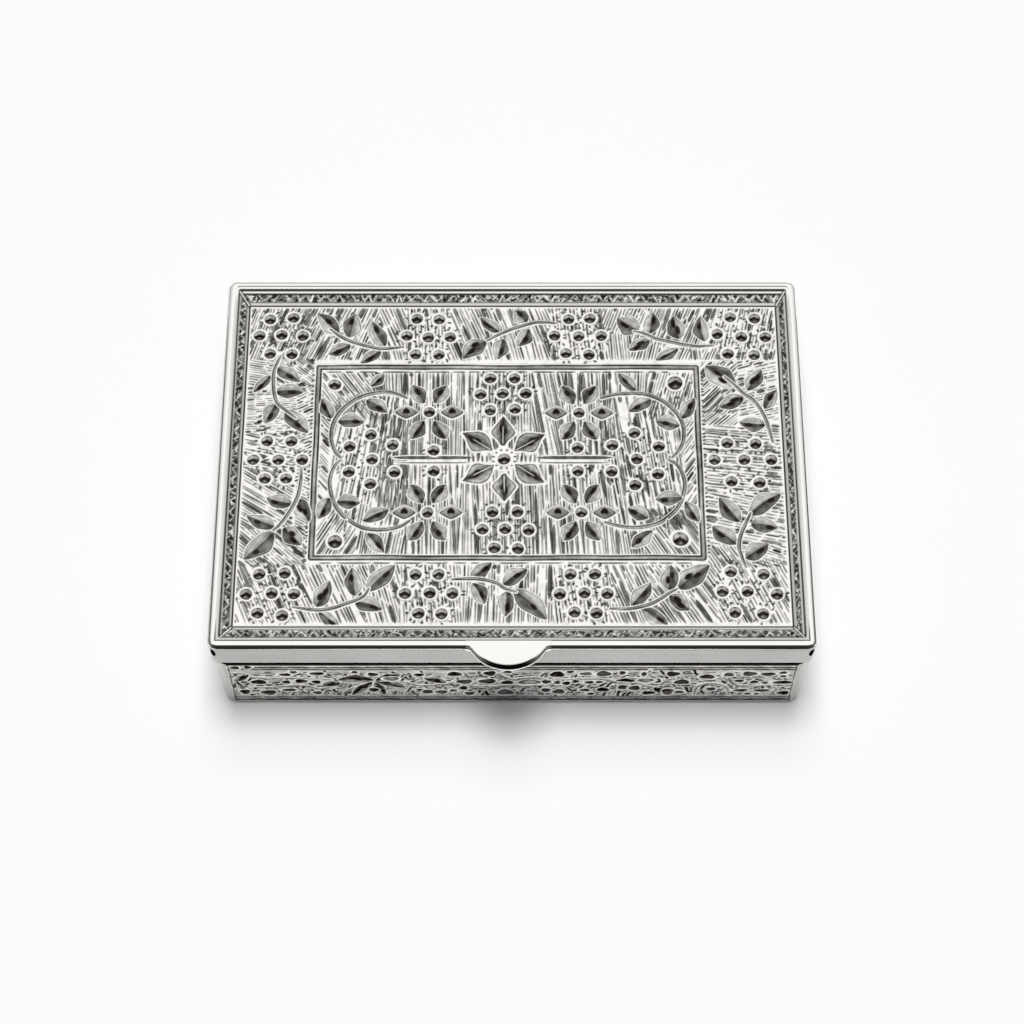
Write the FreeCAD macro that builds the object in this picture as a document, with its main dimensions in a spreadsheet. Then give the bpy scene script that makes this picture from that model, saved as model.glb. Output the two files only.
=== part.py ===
import FreeCAD, Part
import os
import re
import Sketcher

# Silver table box for papers and keepsakes, with a hinged lid. Millimetres, +Z up, the hinge at +Y,
# the thumb piece at -Y. The origin is the middle of the underside, on the surface that the box stands on.

SIZES = {
    # Lid rim: a rounded moulding round the top of the lid
    "lid_width": 150.0,
    "lid_depth": 107.6,
    "rim_height": 2.0,
    "rim_width": 2.95,
    "rim_overhang": 0.25,
    "rim_corner_radius": 2.3,
    "rim_edge_radius": 1.3,
    "rim_underside_bevel": 0.25,
    "rim_inner_corner_radius": 0.3,
    "rim_inner_edge_radius": 0.5,
    "quirk_width": 0.25,
    "quirk_depth": 0.2,
    "bead_width": 0.85,
    # Lid band: the plain upright side of the lid
    "band_height": 7.4,
    "band_thickness": 0.9,
    "band_edge_bevel": 0.15,
    # Lid panel: the chased sheet inside the rim, with a sloping border
    "panel_thickness": 0.9,
    "border_width": 2.9,
    "border_drop": 0.7,
    "border_fall": 0.5,
    # Thumb piece
    "thumb_reach": 5.4,
    "thumb_radius": 11.5,
    "thumb_root_radius": 1.5,
    "thumb_root_depth": 1.9,
    "thumb_offset": 1.0,
    # Case: the tapered body below the lid
    "case_height": 26.2,
    "case_inset": 0.25,
    "case_taper": 0.9,
    "case_corner_radius": 4.0,
    "case_edge_bevel": 0.5,
    "foot_edge_radius": 0.8,
    "wall_thickness": 1.0,
    "base_thickness": 1.0,
    "closing_gap": 0.1,
    # Hinge: tubes on a pin, let into bearers along the back. Its length is a share of the lid's width
    "hinge_share": 0.72,
    "knuckle_count": 7,
    "knuckle_gap": 0.15,
    "knuckle_radius": 1.5,
    "pin_radius": 0.6,
    "pin_clearance": 0.05,
    "pin_head_radius": 1.0,
    "pin_head_height": 0.4,
    "axis_inset": 0.5,
    "channel_clearance": 0.2,
    "channel_end_room": 1.0,
    "bearer_thickness": 1.8,
    "bearer_height": 4.0,
    "bearer_end_length": 4.0,
    "stop_angle": 107.0,
    # Wood lining
    "floor_board_thickness": 2.0,
    "lining_thickness": 3.0,
    "lining_upstand": 1.6,
    "lining_clearance": 0.1,
    "mitre_gap": 0.05,
    "lid_lining_thickness": 1.3,
    # Shared
    "solder_gap": 0.02,
    "overrun": 2.0,
}

# Names for the points of sketch geometry, and for the sketch's origin
START = 1
END = 2
CENTRE = 3
ORIGIN = -1
RIGHT_ANGLE = FreeCAD.Units.Quantity("90 deg").getValueAs("rad").Value
# Heights nearer than this are the same height
NEAR = 1e-4

document = FreeCAD.newDocument("silver_box")
sheet = document.addObject("Spreadsheet::Sheet", "sizes")
for row, (alias, amount) in enumerate(SIZES.items(), start=1):
    sheet.set(f"A{row}", alias)
    sheet.set(f"B{row}", str(amount))
    sheet.setAlias(f"B{row}", alias)
document.recompute()


def formula(text):
    """The text as an expression: each name of a size becomes a reference to its cell."""

    def cell(found):
        word = found.group()
        return "sizes." + word if word in SIZES else word

    return re.sub(r"[a-z][a-z_]*", cell, text)


def number(text):
    """What the formula comes to now, for first guesses in sketches and for Python's own choices."""
    return float(sheet.evalExpression(formula(text)))


def bind(item, path, text):
    item.setExpression(path, formula(text))


# Sizes and places that follow from the sheet
BAND_WIDTH = "(lid_width - 2 * rim_overhang)"
BAND_DEPTH = "(lid_depth - 2 * rim_overhang)"
BAND_RADIUS = "(rim_corner_radius - rim_overhang)"
CASE_WIDTH = f"({BAND_WIDTH} - 2 * case_inset)"
CASE_DEPTH = f"({BAND_DEPTH} - 2 * case_inset)"
LID_BOTTOM = "(case_height + closing_gap)"
BAND_TOP = f"({LID_BOTTOM} + band_height)"
LID_TOP = f"({BAND_TOP} + rim_height)"
BORDER_TOP = f"({LID_TOP} - border_drop)"
PANEL_FACE = f"({BORDER_TOP} - border_fall)"
PANEL_BOTTOM = f"({PANEL_FACE} - panel_thickness)"
RIM_FRONT = "(-lid_depth / 2)"
FLOOR_TOP = "(base_thickness + floor_board_thickness)"
AXIS_Y = f"({CASE_DEPTH} / 2 - axis_inset)"
AXIS_Z = "(case_height + closing_gap / 2)"
HINGE_LENGTH = "(lid_width * hinge_share)"
KNUCKLE_LENGTH = f"(({HINGE_LENGTH} - (knuckle_count - 1) * knuckle_gap) / knuckle_count)"
PITCH = f"({KNUCKLE_LENGTH} + knuckle_gap)"
CHANNEL_LENGTH = f"({HINGE_LENGTH} + 2 * channel_end_room)"
BEARER_LENGTH = f"({CHANNEL_LENGTH} + 2 * bearer_end_length)"
CASE_SLOPE = "atan(case_taper / case_height)"
# Half the width of the thumb piece where its hollow corners meet the rim
THUMB_ROOT_HALF = (
    "sqrt((thumb_radius + thumb_root_radius) ^ 2"
    " - (thumb_radius - thumb_reach + thumb_root_radius) ^ 2)"
)


def shrink_at(height):
    """How much narrower than its top the case is at this height."""
    return f"(2 * case_taper * (1 - ({height}) / case_height))"


def new_body(label):
    body = document.addObject("PartDesign::Body", label)
    body.Label = label
    return body


def new_sketch(body, name, role, offset="0"):
    """A sketch on one of the body's origin planes, moved along the plane's normal."""
    sketch = body.newObject("Sketcher::SketchObject", f"{body.Label}_{name}")
    plane = next(item for item in body.Origin.OriginFeatures if item.Role == role)
    sketch.AttachmentSupport = [(plane, "")]
    sketch.MapMode = "FlatFace"
    bind(sketch, "AttachmentOffset.Base.z", offset)
    return sketch


def constrain(sketch, kind, *places, size=None):
    """Adds a constraint. A size is a formula, and drives the constraint."""
    if size is None:
        sketch.addConstraint(Sketcher.Constraint(kind, *places))
        return
    index = sketch.addConstraint(Sketcher.Constraint(kind, *places, number(size)))
    bind(sketch, f"Constraints[{index}]", size)


def rounded_rectangle(sketch, width, depth, radius):
    """A centred rectangle with round corners."""
    arc = number(radius)
    half_x = number(width) / 2
    half_y = number(depth) / 2
    flat_x = half_x - arc
    flat_y = half_y - arc
    sides = [
        ((-flat_x, -half_y), (flat_x, -half_y)),
        ((half_x, -flat_y), (half_x, flat_y)),
        ((flat_x, half_y), (-flat_x, half_y)),
        ((-half_x, flat_y), (-half_x, -flat_y)),
    ]
    centres = [(flat_x, -flat_y), (flat_x, flat_y), (-flat_x, flat_y), (-flat_x, -flat_y)]
    up = FreeCAD.Vector(0, 0, 1)
    lines = []
    arcs = []
    for turn, ((start, end), centre) in enumerate(zip(sides, centres)):
        line = Part.LineSegment(FreeCAD.Vector(*start, 0), FreeCAD.Vector(*end, 0))
        lines.append(sketch.addGeometry(line))
        full_circle = Part.Circle(FreeCAD.Vector(*centre, 0), up, arc)
        first_angle = (turn - 1) * RIGHT_ANGLE
        corner = Part.ArcOfCircle(full_circle, first_angle, first_angle + RIGHT_ANGLE)
        arcs.append(sketch.addGeometry(corner))
    for turn in range(4):
        constrain(sketch, "Tangent", lines[turn], END, arcs[turn], START)
        constrain(sketch, "Tangent", arcs[turn], END, lines[(turn + 1) % 4], START)
        constrain(sketch, "Vertical" if turn % 2 else "Horizontal", lines[turn])
    for turn in range(1, 4):
        constrain(sketch, "Equal", arcs[0], arcs[turn])
    constrain(sketch, "Symmetric", arcs[0], CENTRE, arcs[2], CENTRE, ORIGIN, START)
    constrain(sketch, "Radius", arcs[0], size=radius)
    constrain(sketch, "DistanceX", arcs[3], CENTRE, arcs[0], CENTRE, size=f"{width} - 2 * {radius}")
    constrain(sketch, "DistanceY", arcs[0], CENTRE, arcs[1], CENTRE, size=f"{depth} - 2 * {radius}")


def polygon(sketch, corners):
    """A closed outline of straight lines through corners given as pairs of formulas."""
    places = [FreeCAD.Vector(number(x), number(y), 0) for x, y in corners]
    count = len(corners)
    lines = []
    for index in range(count):
        line = Part.LineSegment(places[index], places[(index + 1) % count])
        lines.append(sketch.addGeometry(line))
    for index, (x, y) in enumerate(corners):
        constrain(sketch, "Coincident", lines[index - 1], END, lines[index], START)
        constrain(sketch, "DistanceX", ORIGIN, START, lines[index], START, size=x)
        constrain(sketch, "DistanceY", ORIGIN, START, lines[index], START, size=y)


def circle(sketch, x, y, radius):
    centre = FreeCAD.Vector(number(x), number(y), 0)
    round_line = Part.Circle(centre, FreeCAD.Vector(0, 0, 1), number(radius))
    index = sketch.addGeometry(round_line)
    constrain(sketch, "DistanceX", ORIGIN, START, index, CENTRE, size=x)
    constrain(sketch, "DistanceY", ORIGIN, START, index, CENTRE, size=y)
    constrain(sketch, "Radius", index, size=radius)


def extrude(kind, sketch, length, both_ways=False, flipped=False, taper="0"):
    """A Pad or Pocket of the sketch. A Pad goes along the sketch's normal and a Pocket against it,
    unless flipped. The taper is an angle by which it widens."""
    body = sketch.getParentGeoFeatureGroup()
    feature = body.newObject(f"PartDesign::{kind}", f"{sketch.Name}_{kind.lower()}")
    feature.Profile = sketch
    feature.SideType = "Symmetric" if both_ways else "One side"
    feature.Reversed = flipped
    bind(feature, "Length", length)
    bind(feature, "TaperAngle", taper)
    return feature


def soften(kind, body, name, size, chosen):
    """A Fillet or a Chamfer on the edges of the body so far that the test picks."""
    document.recompute()
    base = body.Tip
    names = [f"Edge{n}" for n, edge in enumerate(base.Shape.Edges, start=1) if chosen(edge)]
    feature = body.newObject(f"PartDesign::{kind}", f"{body.Label}_{name}")
    feature.Base = (base, names)
    bind(feature, "Radius" if kind == "Fillet" else "Size", size)
    return feature


def lies_at(edge, height):
    """Whether the whole edge lies at this height."""
    box = edge.BoundBox
    level = number(height)
    return abs(box.ZMin - level) < NEAR and abs(box.ZMax - level) < NEAR


def cut_channels(body, own_first):
    """Cuts the back of a shell or bearer for the hinge: a seat along the whole hinge, with room round
    the other half's knuckles. own_first says whether this half owns the first and last knuckle."""
    seat = new_sketch(body, "seat", "YZ_Plane")
    circle(seat, AXIS_Y, AXIS_Z, "knuckle_radius + solder_gap")
    extrude("Pocket", seat, CHANNEL_LENGTH, both_ways=True)
    first = 1 if own_first else 0
    middle = f"-{HINGE_LENGTH} / 2 + {first} * {PITCH} + {KNUCKLE_LENGTH} / 2"
    room = new_sketch(body, "room", "YZ_Plane", middle)
    circle(room, AXIS_Y, AXIS_Z, "knuckle_radius + channel_clearance")
    pocket = extrude("Pocket", room, f"{KNUCKLE_LENGTH} + knuckle_gap", both_ways=True)
    copies = f"((knuckle_count + 1) / 2 - {first})"
    pattern = body.newObject("PartDesign::LinearPattern", f"{body.Label}_rooms")
    pattern.Originals = [pocket]
    axis = next(item for item in body.Origin.OriginFeatures if item.Role == "X_Axis")
    pattern.Direction = (axis, [""])
    bind(pattern, "Length", f"({copies} - 1) * 2 * {PITCH}")
    bind(pattern, "Occurrences", copies)
    body.Tip = pattern


def bevel_back_edge(body, side):
    """Bevels the outer back edge from the hinge axis, up for the lid (1) or down for the case (-1).
    The two bevels meet when the lid is open, and stop it."""
    reach = "(axis_inset + case_inset + rim_overhang + overrun)"
    bevel = new_sketch(body, "bevel", "YZ_Plane")
    corners = [
        (AXIS_Y, AXIS_Z),
        (f"{AXIS_Y} + {reach}", AXIS_Z),
        (f"{AXIS_Y} + {reach}", f"{AXIS_Z} + {side} * {reach} * tan(stop_angle / 2)"),
    ]
    polygon(bevel, corners)
    extrude("Pocket", bevel, "lid_width", both_ways=True)


def case_section(body, name, height, inside):
    """The outline of the case's tapered form at a height, moved inside by a distance."""
    sketch = new_sketch(body, name, "XY_Plane", height)
    less = f"({shrink_at(height)} / 2 + {inside})"
    width = f"({CASE_WIDTH} - 2 * {less})"
    depth = f"({CASE_DEPTH} - 2 * {less})"
    rounded_rectangle(sketch, width, depth, f"(case_corner_radius - {less})")
    return sketch


def make_case_wall():
    body = new_body("case_wall")
    outline = case_section(body, "outline", "0", "0")
    extrude("Pad", outline, "case_height", taper=CASE_SLOPE)
    soften("Fillet", body, "foot_edge", "foot_edge_radius", lambda edge: lies_at(edge, "0"))
    soften("Chamfer", body, "mouth_edge", "case_edge_bevel", lambda edge: lies_at(edge, "case_height"))
    hollow = case_section(body, "hollow", "0", "wall_thickness")
    extrude("Pocket", hollow, "case_height + overrun", flipped=True, taper=CASE_SLOPE)
    bevel_back_edge(body, -1)
    cut_channels(body, own_first=True)
    return body


def make_base_plate():
    body = new_body("base_plate")
    outline = case_section(body, "outline", "0", "wall_thickness + solder_gap")
    extrude("Pad", outline, "base_thickness")
    return body


def make_case_bearer():
    body = new_body("case_hinge_bearer")
    profile = new_sketch(body, "profile", "YZ_Plane")
    top = "case_height"
    low = "(case_height - bearer_height)"
    wall_top = f"({CASE_DEPTH} / 2 - wall_thickness - solder_gap)"
    wall_low = f"({wall_top} - {shrink_at(low)} / 2)"
    corners = [
        (wall_top, top),
        (f"{wall_top} - bearer_thickness", top),
        (f"{wall_top} - bearer_thickness", low),
        (wall_low, low),
    ]
    polygon(profile, corners)
    extrude("Pad", profile, BEARER_LENGTH, both_ways=True)
    cut_channels(body, own_first=True)
    return body


def make_lid_band():
    body = new_body("lid_band")
    outline = new_sketch(body, "outline", "XY_Plane", LID_BOTTOM)
    rounded_rectangle(outline, BAND_WIDTH, BAND_DEPTH, BAND_RADIUS)
    extrude("Pad", outline, "band_height")
    soften("Chamfer", body, "low_edge", "band_edge_bevel", lambda edge: lies_at(edge, LID_BOTTOM))
    opening = new_sketch(body, "opening", "XY_Plane", f"{BAND_TOP} + overrun")
    rounded_rectangle(
        opening,
        f"({BAND_WIDTH} - 2 * band_thickness)",
        f"({BAND_DEPTH} - 2 * band_thickness)",
        f"({BAND_RADIUS} - band_thickness)",
    )
    extrude("Pocket", opening, "band_height + 2 * overrun")
    bevel_back_edge(body, 1)
    cut_channels(body, own_first=False)
    return body


def make_lid_rim():
    body = new_body("lid_rim")
    outline = new_sketch(body, "outline", "XY_Plane", BAND_TOP)
    rounded_rectangle(outline, "lid_width", "lid_depth", "rim_corner_radius")
    extrude("Pad", outline, "rim_height")
    soften("Fillet", body, "top_edge", "rim_edge_radius", lambda edge: lies_at(edge, LID_TOP))
    soften("Chamfer", body, "low_edge", "rim_underside_bevel", lambda edge: lies_at(edge, BAND_TOP))
    opening = new_sketch(body, "opening", "XY_Plane", f"{LID_TOP} + overrun")
    opening_width = "(lid_width - 2 * rim_width)"
    opening_depth = "(lid_depth - 2 * rim_width)"
    rounded_rectangle(opening, opening_width, opening_depth, "rim_inner_corner_radius")
    extrude("Pocket", opening, "rim_height + 2 * overrun")
    inner_reach = number(f"{opening_width} / 2") + NEAR
    soften(
        "Fillet",
        body,
        "inner_edge",
        "rim_inner_edge_radius",
        lambda edge: lies_at(edge, LID_TOP) and abs(edge.BoundBox.XMax) < inner_reach,
    )
    quirk = new_sketch(body, "quirk", "XY_Plane", LID_TOP)
    for step in ("(2 * bead_width)", "(2 * (bead_width + quirk_width))"):
        rounded_rectangle(
            quirk,
            f"({opening_width} + {step})",
            f"({opening_depth} + {step})",
            f"(rim_inner_corner_radius + {step} / 2)",
        )
    extrude("Pocket", quirk, "quirk_depth")
    notch = new_sketch(body, "notch", "XY_Plane", f"{LID_TOP} + overrun")
    half = f"({THUMB_ROOT_HALF} + solder_gap)"
    back = f"({RIM_FRONT} + thumb_root_depth + solder_gap)"
    corners = [
        (f"-thumb_offset - {half}", f"{RIM_FRONT} - overrun"),
        (f"-thumb_offset + {half}", f"{RIM_FRONT} - overrun"),
        (f"-thumb_offset + {half}", back),
        (f"-thumb_offset - {half}", back),
    ]
    polygon(notch, corners)
    extrude("Pocket", notch, "rim_height + 2 * overrun")
    return body


def make_thumb_piece():
    """A tongue with a round front and hollow corners, let into the rim's front."""
    body = new_body("thumb_piece")
    sketch = new_sketch(body, "outline", "XY_Plane", BAND_TOP)
    front = number(RIM_FRONT)
    middle = -number("thumb_offset")
    half = number(THUMB_ROOT_HALF)
    back = number(f"{RIM_FRONT} + thumb_root_depth")
    nose_radius = number("thumb_radius")
    root_radius = number("thumb_root_radius")
    nose_centre = FreeCAD.Vector(middle, number(f"{RIM_FRONT} - thumb_reach + thumb_radius"), 0)
    up = FreeCAD.Vector(0, 0, 1)
    root_left = FreeCAD.Vector(middle - half, front, 0)
    root_right = FreeCAD.Vector(middle + half, front, 0)
    back_left = FreeCAD.Vector(middle - half, back, 0)
    back_right = FreeCAD.Vector(middle + half, back, 0)
    hollow_left = FreeCAD.Vector(middle - half, front - root_radius, 0)
    hollow_right = FreeCAD.Vector(middle + half, front - root_radius, 0)
    share = nose_radius / (nose_radius + root_radius)
    meet_left = nose_centre + (hollow_left - nose_centre) * share
    meet_right = nose_centre + (hollow_right - nose_centre) * share

    def angle(centre, place):
        turn = FreeCAD.Vector(1, 0, 0).getAngle(place - centre)
        return turn if place.y >= centre.y else -turn

    def arc(centre, radius, first, last):
        round_line = Part.Circle(centre, up, radius)
        return sketch.addGeometry(Part.ArcOfCircle(round_line, first, last))

    left = sketch.addGeometry(Part.LineSegment(back_left, root_left))
    nose = arc(nose_centre, nose_radius, angle(nose_centre, meet_left), angle(nose_centre, meet_right))
    right = sketch.addGeometry(Part.LineSegment(root_right, back_right))
    rear = sketch.addGeometry(Part.LineSegment(back_right, back_left))
    hollow_one = arc(hollow_left, root_radius, angle(hollow_left, meet_left), RIGHT_ANGLE)
    last_angle = angle(hollow_right, meet_right) + 4 * RIGHT_ANGLE
    hollow_two = arc(hollow_right, root_radius, RIGHT_ANGLE, last_angle)
    constrain(sketch, "Vertical", left)
    constrain(sketch, "Vertical", right)
    constrain(sketch, "Horizontal", rear)
    constrain(sketch, "Coincident", rear, END, left, START)
    constrain(sketch, "Coincident", right, END, rear, START)
    constrain(sketch, "Perpendicular", left, END, hollow_one, END)
    constrain(sketch, "Perpendicular", right, START, hollow_two, START)
    constrain(sketch, "Tangent", hollow_one, START, nose, START)
    constrain(sketch, "Tangent", hollow_two, END, nose, END)
    constrain(sketch, "Equal", hollow_one, hollow_two)
    constrain(sketch, "Radius", hollow_one, size="thumb_root_radius")
    constrain(sketch, "Radius", nose, size="thumb_radius")
    constrain(sketch, "DistanceX", ORIGIN, START, nose, CENTRE, size="-thumb_offset")
    nose_height = f"{RIM_FRONT} - thumb_reach + thumb_radius"
    constrain(sketch, "DistanceY", ORIGIN, START, nose, CENTRE, size=nose_height)
    constrain(sketch, "DistanceY", ORIGIN, START, left, END, size=RIM_FRONT)
    constrain(sketch, "DistanceY", ORIGIN, START, right, START, size=RIM_FRONT)
    constrain(sketch, "DistanceY", ORIGIN, START, rear, START, size=f"{RIM_FRONT} + thumb_root_depth")
    extrude("Pad", sketch, "rim_height")

    def is_round(edge, height):
        return lies_at(edge, height) and edge.Curve.TypeId == "Part::GeomCircle"

    soften("Fillet", body, "top_edge", "rim_edge_radius", lambda edge: is_round(edge, LID_TOP))
    soften("Chamfer", body, "low_edge", "rim_underside_bevel", lambda edge: is_round(edge, BAND_TOP))
    return body


def make_lid_panel():
    """A sheet whose border slopes down from the rim to the flat middle."""
    body = new_body("lid_panel")
    width = "(lid_width - 2 * rim_width - 2 * solder_gap)"
    depth = "(lid_depth - 2 * rim_width - 2 * solder_gap)"
    outline = new_sketch(body, "outline", "XY_Plane", PANEL_BOTTOM)
    rounded_rectangle(outline, width, depth, "(rim_inner_corner_radius - solder_gap)")
    extrude("Pad", outline, f"({BORDER_TOP} - {PANEL_BOTTOM})")
    dish = body.newObject("PartDesign::SubtractiveWedge", "lid_panel_dish")
    plane = next(item for item in body.Origin.OriginFeatures if item.Role == "XZ_Plane")
    dish.AttachmentSupport = [(plane, "")]
    dish.MapMode = "FlatFace"
    spread = "(overrun * border_width / border_fall)"
    bind(dish, "Ymin", PANEL_FACE)
    bind(dish, "Ymax", f"{BORDER_TOP} + overrun")
    for letter, size in (("X", width), ("Z", depth)):
        bind(dish, f"{letter}min", f"-({size} / 2 - border_width)")
        bind(dish, f"{letter}max", f"{size} / 2 - border_width")
        bind(dish, f"{letter}2min", f"-({size} / 2 + {spread})")
        bind(dish, f"{letter}2max", f"{size} / 2 + {spread}")
    return body


def make_lid_bearer():
    body = new_body("lid_hinge_bearer")
    profile = new_sketch(body, "profile", "YZ_Plane")
    outer = f"({BAND_DEPTH} / 2 - band_thickness - solder_gap)"
    inner = f"({outer} - bearer_thickness)"
    top = f"({LID_BOTTOM} + bearer_height)"
    polygon(profile, [(outer, LID_BOTTOM), (outer, top), (inner, top), (inner, LID_BOTTOM)])
    extrude("Pad", profile, BEARER_LENGTH, both_ways=True)
    cut_channels(body, own_first=False)
    return body


def make_knuckle(label, index):
    body = new_body(label)
    start = f"-{HINGE_LENGTH} / 2 + {index} * {PITCH}"
    section = new_sketch(body, "section", "YZ_Plane", start)
    circle(section, AXIS_Y, AXIS_Z, "knuckle_radius")
    circle(section, AXIS_Y, AXIS_Z, "pin_radius + pin_clearance")
    extrude("Pad", section, KNUCKLE_LENGTH)
    return body


def make_hinge_pin():
    """A pin with its ends spread into low heads against the last knuckles."""
    body = new_body("hinge_pin")
    shank = new_sketch(body, "shank", "YZ_Plane")
    circle(shank, AXIS_Y, AXIS_Z, "pin_radius")
    extrude("Pad", shank, HINGE_LENGTH, both_ways=True)
    for name, side in (("left_head", -1), ("right_head", 1)):
        head = new_sketch(body, name, "YZ_Plane", f"{side} * {HINGE_LENGTH} / 2")
        circle(head, AXIS_Y, AXIS_Z, "pin_head_radius")
        extrude("Pad", head, "pin_head_height", flipped=side < 0)
    return body


def make_floor_board():
    body = new_body("lining_floor")
    outline = case_section(body, "outline", "base_thickness", "wall_thickness + lining_clearance")
    extrude("Pad", outline, "floor_board_thickness")
    return body


def make_lining_frame():
    """The four side strips of the lining as one frame, from which each strip is cut."""
    body = new_body("lining_frame")
    outside = "(wall_thickness + lining_clearance)"
    outline = case_section(body, "outline", FLOOR_TOP, outside)
    height = f"(case_height + lining_upstand - {FLOOR_TOP})"
    extrude("Pad", outline, height, taper=CASE_SLOPE)
    opening = new_sketch(body, "opening", "XY_Plane", FLOOR_TOP)
    less = f"({shrink_at(FLOOR_TOP)} / 2 + {outside} + lining_thickness)"
    half_x = f"({CASE_WIDTH} / 2 - {less})"
    half_y = f"({CASE_DEPTH} / 2 - {less})"
    corners = [
        (f"-{half_x}", f"-{half_y}"),
        (half_x, f"-{half_y}"),
        (half_x, half_y),
        (f"-{half_x}", half_y),
    ]
    polygon(opening, corners)
    extrude("Pocket", opening, f"{height} + overrun", flipped=True, taper=CASE_SLOPE)
    return body


def make_sector(label, turn):
    """The prism that holds one side of the lining frame, between the mitres at its ends."""
    body = new_body(f"{label}_sector")
    long_half = f"({CASE_WIDTH} / 2)"
    short_half = f"({CASE_DEPTH} / 2)"
    reach = "(wall_thickness + lining_clearance + lining_thickness + case_taper + overrun)"
    along, across = (long_half, short_half) if turn % 2 == 0 else (short_half, long_half)
    side = -1 if turn in (0, 3) else 1
    ends = [
        (f"-{along} + mitre_gap", f"{side} * {across}"),
        (f"{along} - mitre_gap", f"{side} * {across}"),
        (f"{along} - mitre_gap - {reach}", f"{side} * ({across} - {reach})"),
        (f"-{along} + mitre_gap + {reach}", f"{side} * ({across} - {reach})"),
    ]
    corners = ends if turn % 2 == 0 else [(y, x) for x, y in ends]
    outline = new_sketch(body, "outline", "XY_Plane", "0")
    polygon(outline, corners)
    extrude("Pad", outline, "case_height + lining_upstand + overrun")
    return body


def new_box(label, length, width, height, low_corner):
    box = document.addObject("Part::Box", label)
    bind(box, "Length", length)
    bind(box, "Width", width)
    bind(box, "Height", height)
    for letter, place in zip("xyz", low_corner):
        bind(box, f"Placement.Base.{letter}", place)
    return box


def combine(kind, label, first, second):
    joined = document.addObject(f"Part::{kind}", label)
    joined.Label = label
    joined.Base = first
    joined.Tool = second
    return joined


def make_lining_strips():
    frame = make_lining_frame()
    strips = []
    for turn, label in enumerate(("lining_front", "lining_right", "lining_back", "lining_left")):
        sector = make_sector(label, turn)
        if label != "lining_back":
            strips.append(combine("Common", label, frame, sector))
            continue
        whole = combine("Common", "lining_back_whole", frame, sector)
        bearer_face = f"({CASE_DEPTH} / 2 - wall_thickness - solder_gap - bearer_thickness)"
        rebate = new_box(
            "bearer_rebate",
            f"{BEARER_LENGTH} + 2 * lining_clearance",
            "bearer_thickness + overrun",
            "bearer_height + lining_clearance + overrun",
            (
                f"-{BEARER_LENGTH} / 2 - lining_clearance",
                f"{bearer_face} - lining_clearance",
                "case_height - bearer_height - lining_clearance",
            ),
        )
        crest = new_box(
            "back_crest",
            CASE_WIDTH,
            f"{CASE_DEPTH} / 2",
            "lining_upstand + overrun",
            (f"-{CASE_WIDTH} / 2", "0", "case_height"),
        )
        waste = combine("Fuse", "lining_back_waste", rebate, crest)
        strips.append(combine("Cut", label, whole, waste))
    return strips


def make_lid_lining():
    body = new_body("lid_lining")
    outline = new_sketch(body, "outline", "XY_Plane", f"{PANEL_BOTTOM} - lid_lining_thickness")
    less = "(2 * band_thickness + 2 * lining_clearance)"
    rounded_rectangle(
        outline,
        f"({BAND_WIDTH} - {less})",
        f"({BAND_DEPTH} - {less})",
        f"({BAND_RADIUS} - band_thickness - lining_clearance)",
    )
    extrude("Pad", outline, "lid_lining_thickness")
    return body


def make_knuckles():
    knuckles = []
    for index in range(int(number("knuckle_count"))):
        owner = "case" if index % 2 == 0 else "lid"
        knuckles.append(make_knuckle(f"{owner}_knuckle_{index // 2 + 1}", index))
    return knuckles


def check_and_export(pieces):
    """Stops if anything failed, and writes each piece to its own file."""
    document.recompute()
    for item in document.Objects:
        if "Invalid" in item.State or "Error" in item.State:
            raise RuntimeError(f"{item.Label} failed: {item.State}")
    os.makedirs("parts", exist_ok=True)
    for piece in pieces:
        if piece.Shape.isNull() or not piece.Shape.isValid() or not piece.Shape.Solids:
            raise RuntimeError(f"{piece.Label} has no valid solid")
    for piece in pieces:
        piece.Shape.exportStep(f"parts/{piece.Label}.step")
        print(piece.Label, len(piece.Shape.Solids), round(piece.Shape.Volume, 2))


pieces = [
    make_case_wall(),
    make_base_plate(),
    make_case_bearer(),
    make_hinge_pin(),
    make_floor_board(),
    make_lid_band(),
    make_lid_rim(),
    make_lid_panel(),
    make_thumb_piece(),
    make_lid_bearer(),
    make_lid_lining(),
    *make_lining_strips(),
    *make_knuckles(),
]
check_and_export(pieces)
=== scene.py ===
import math

import bpy
import numpy as np
from mathutils import Matrix, Vector


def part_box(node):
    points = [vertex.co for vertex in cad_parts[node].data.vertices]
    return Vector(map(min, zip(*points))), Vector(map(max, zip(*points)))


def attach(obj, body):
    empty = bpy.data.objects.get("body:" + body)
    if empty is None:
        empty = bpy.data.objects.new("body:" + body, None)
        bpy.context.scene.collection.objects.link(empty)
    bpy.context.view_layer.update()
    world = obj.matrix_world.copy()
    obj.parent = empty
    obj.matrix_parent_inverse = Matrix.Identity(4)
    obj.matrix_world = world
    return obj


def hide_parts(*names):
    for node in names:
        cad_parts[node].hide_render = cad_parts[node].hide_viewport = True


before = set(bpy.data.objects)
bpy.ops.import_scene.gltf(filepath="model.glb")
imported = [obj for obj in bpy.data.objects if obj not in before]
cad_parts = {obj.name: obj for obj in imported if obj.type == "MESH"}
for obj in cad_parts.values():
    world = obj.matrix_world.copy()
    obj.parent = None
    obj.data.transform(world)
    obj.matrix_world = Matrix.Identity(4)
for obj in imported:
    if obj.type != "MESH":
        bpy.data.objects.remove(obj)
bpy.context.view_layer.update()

# The looks of a closed silver table box: chased silver plates on the lid and round the case, polished
# silver for the mouldings, cedar inside, a pale floor, soft light and the camera.
# The chasing is drawn in millimetres on plates, in the box's own frame: x to the right, y to the back.

MM = 0.001
SEED = 1305
random = np.random.default_rng(SEED)

# Tones of the metal, from black patina (0) to bright silver (1); on the ornament they also hold painted shade
# and painted highlights
GROUND_TONE = 0.99
HALO_TONE = 0.997
BODY_TONE = 0.64
CUT_TONE = 0.38
BLACK_TONE = 0.07
DARKEST_TONE = 0.02
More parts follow.
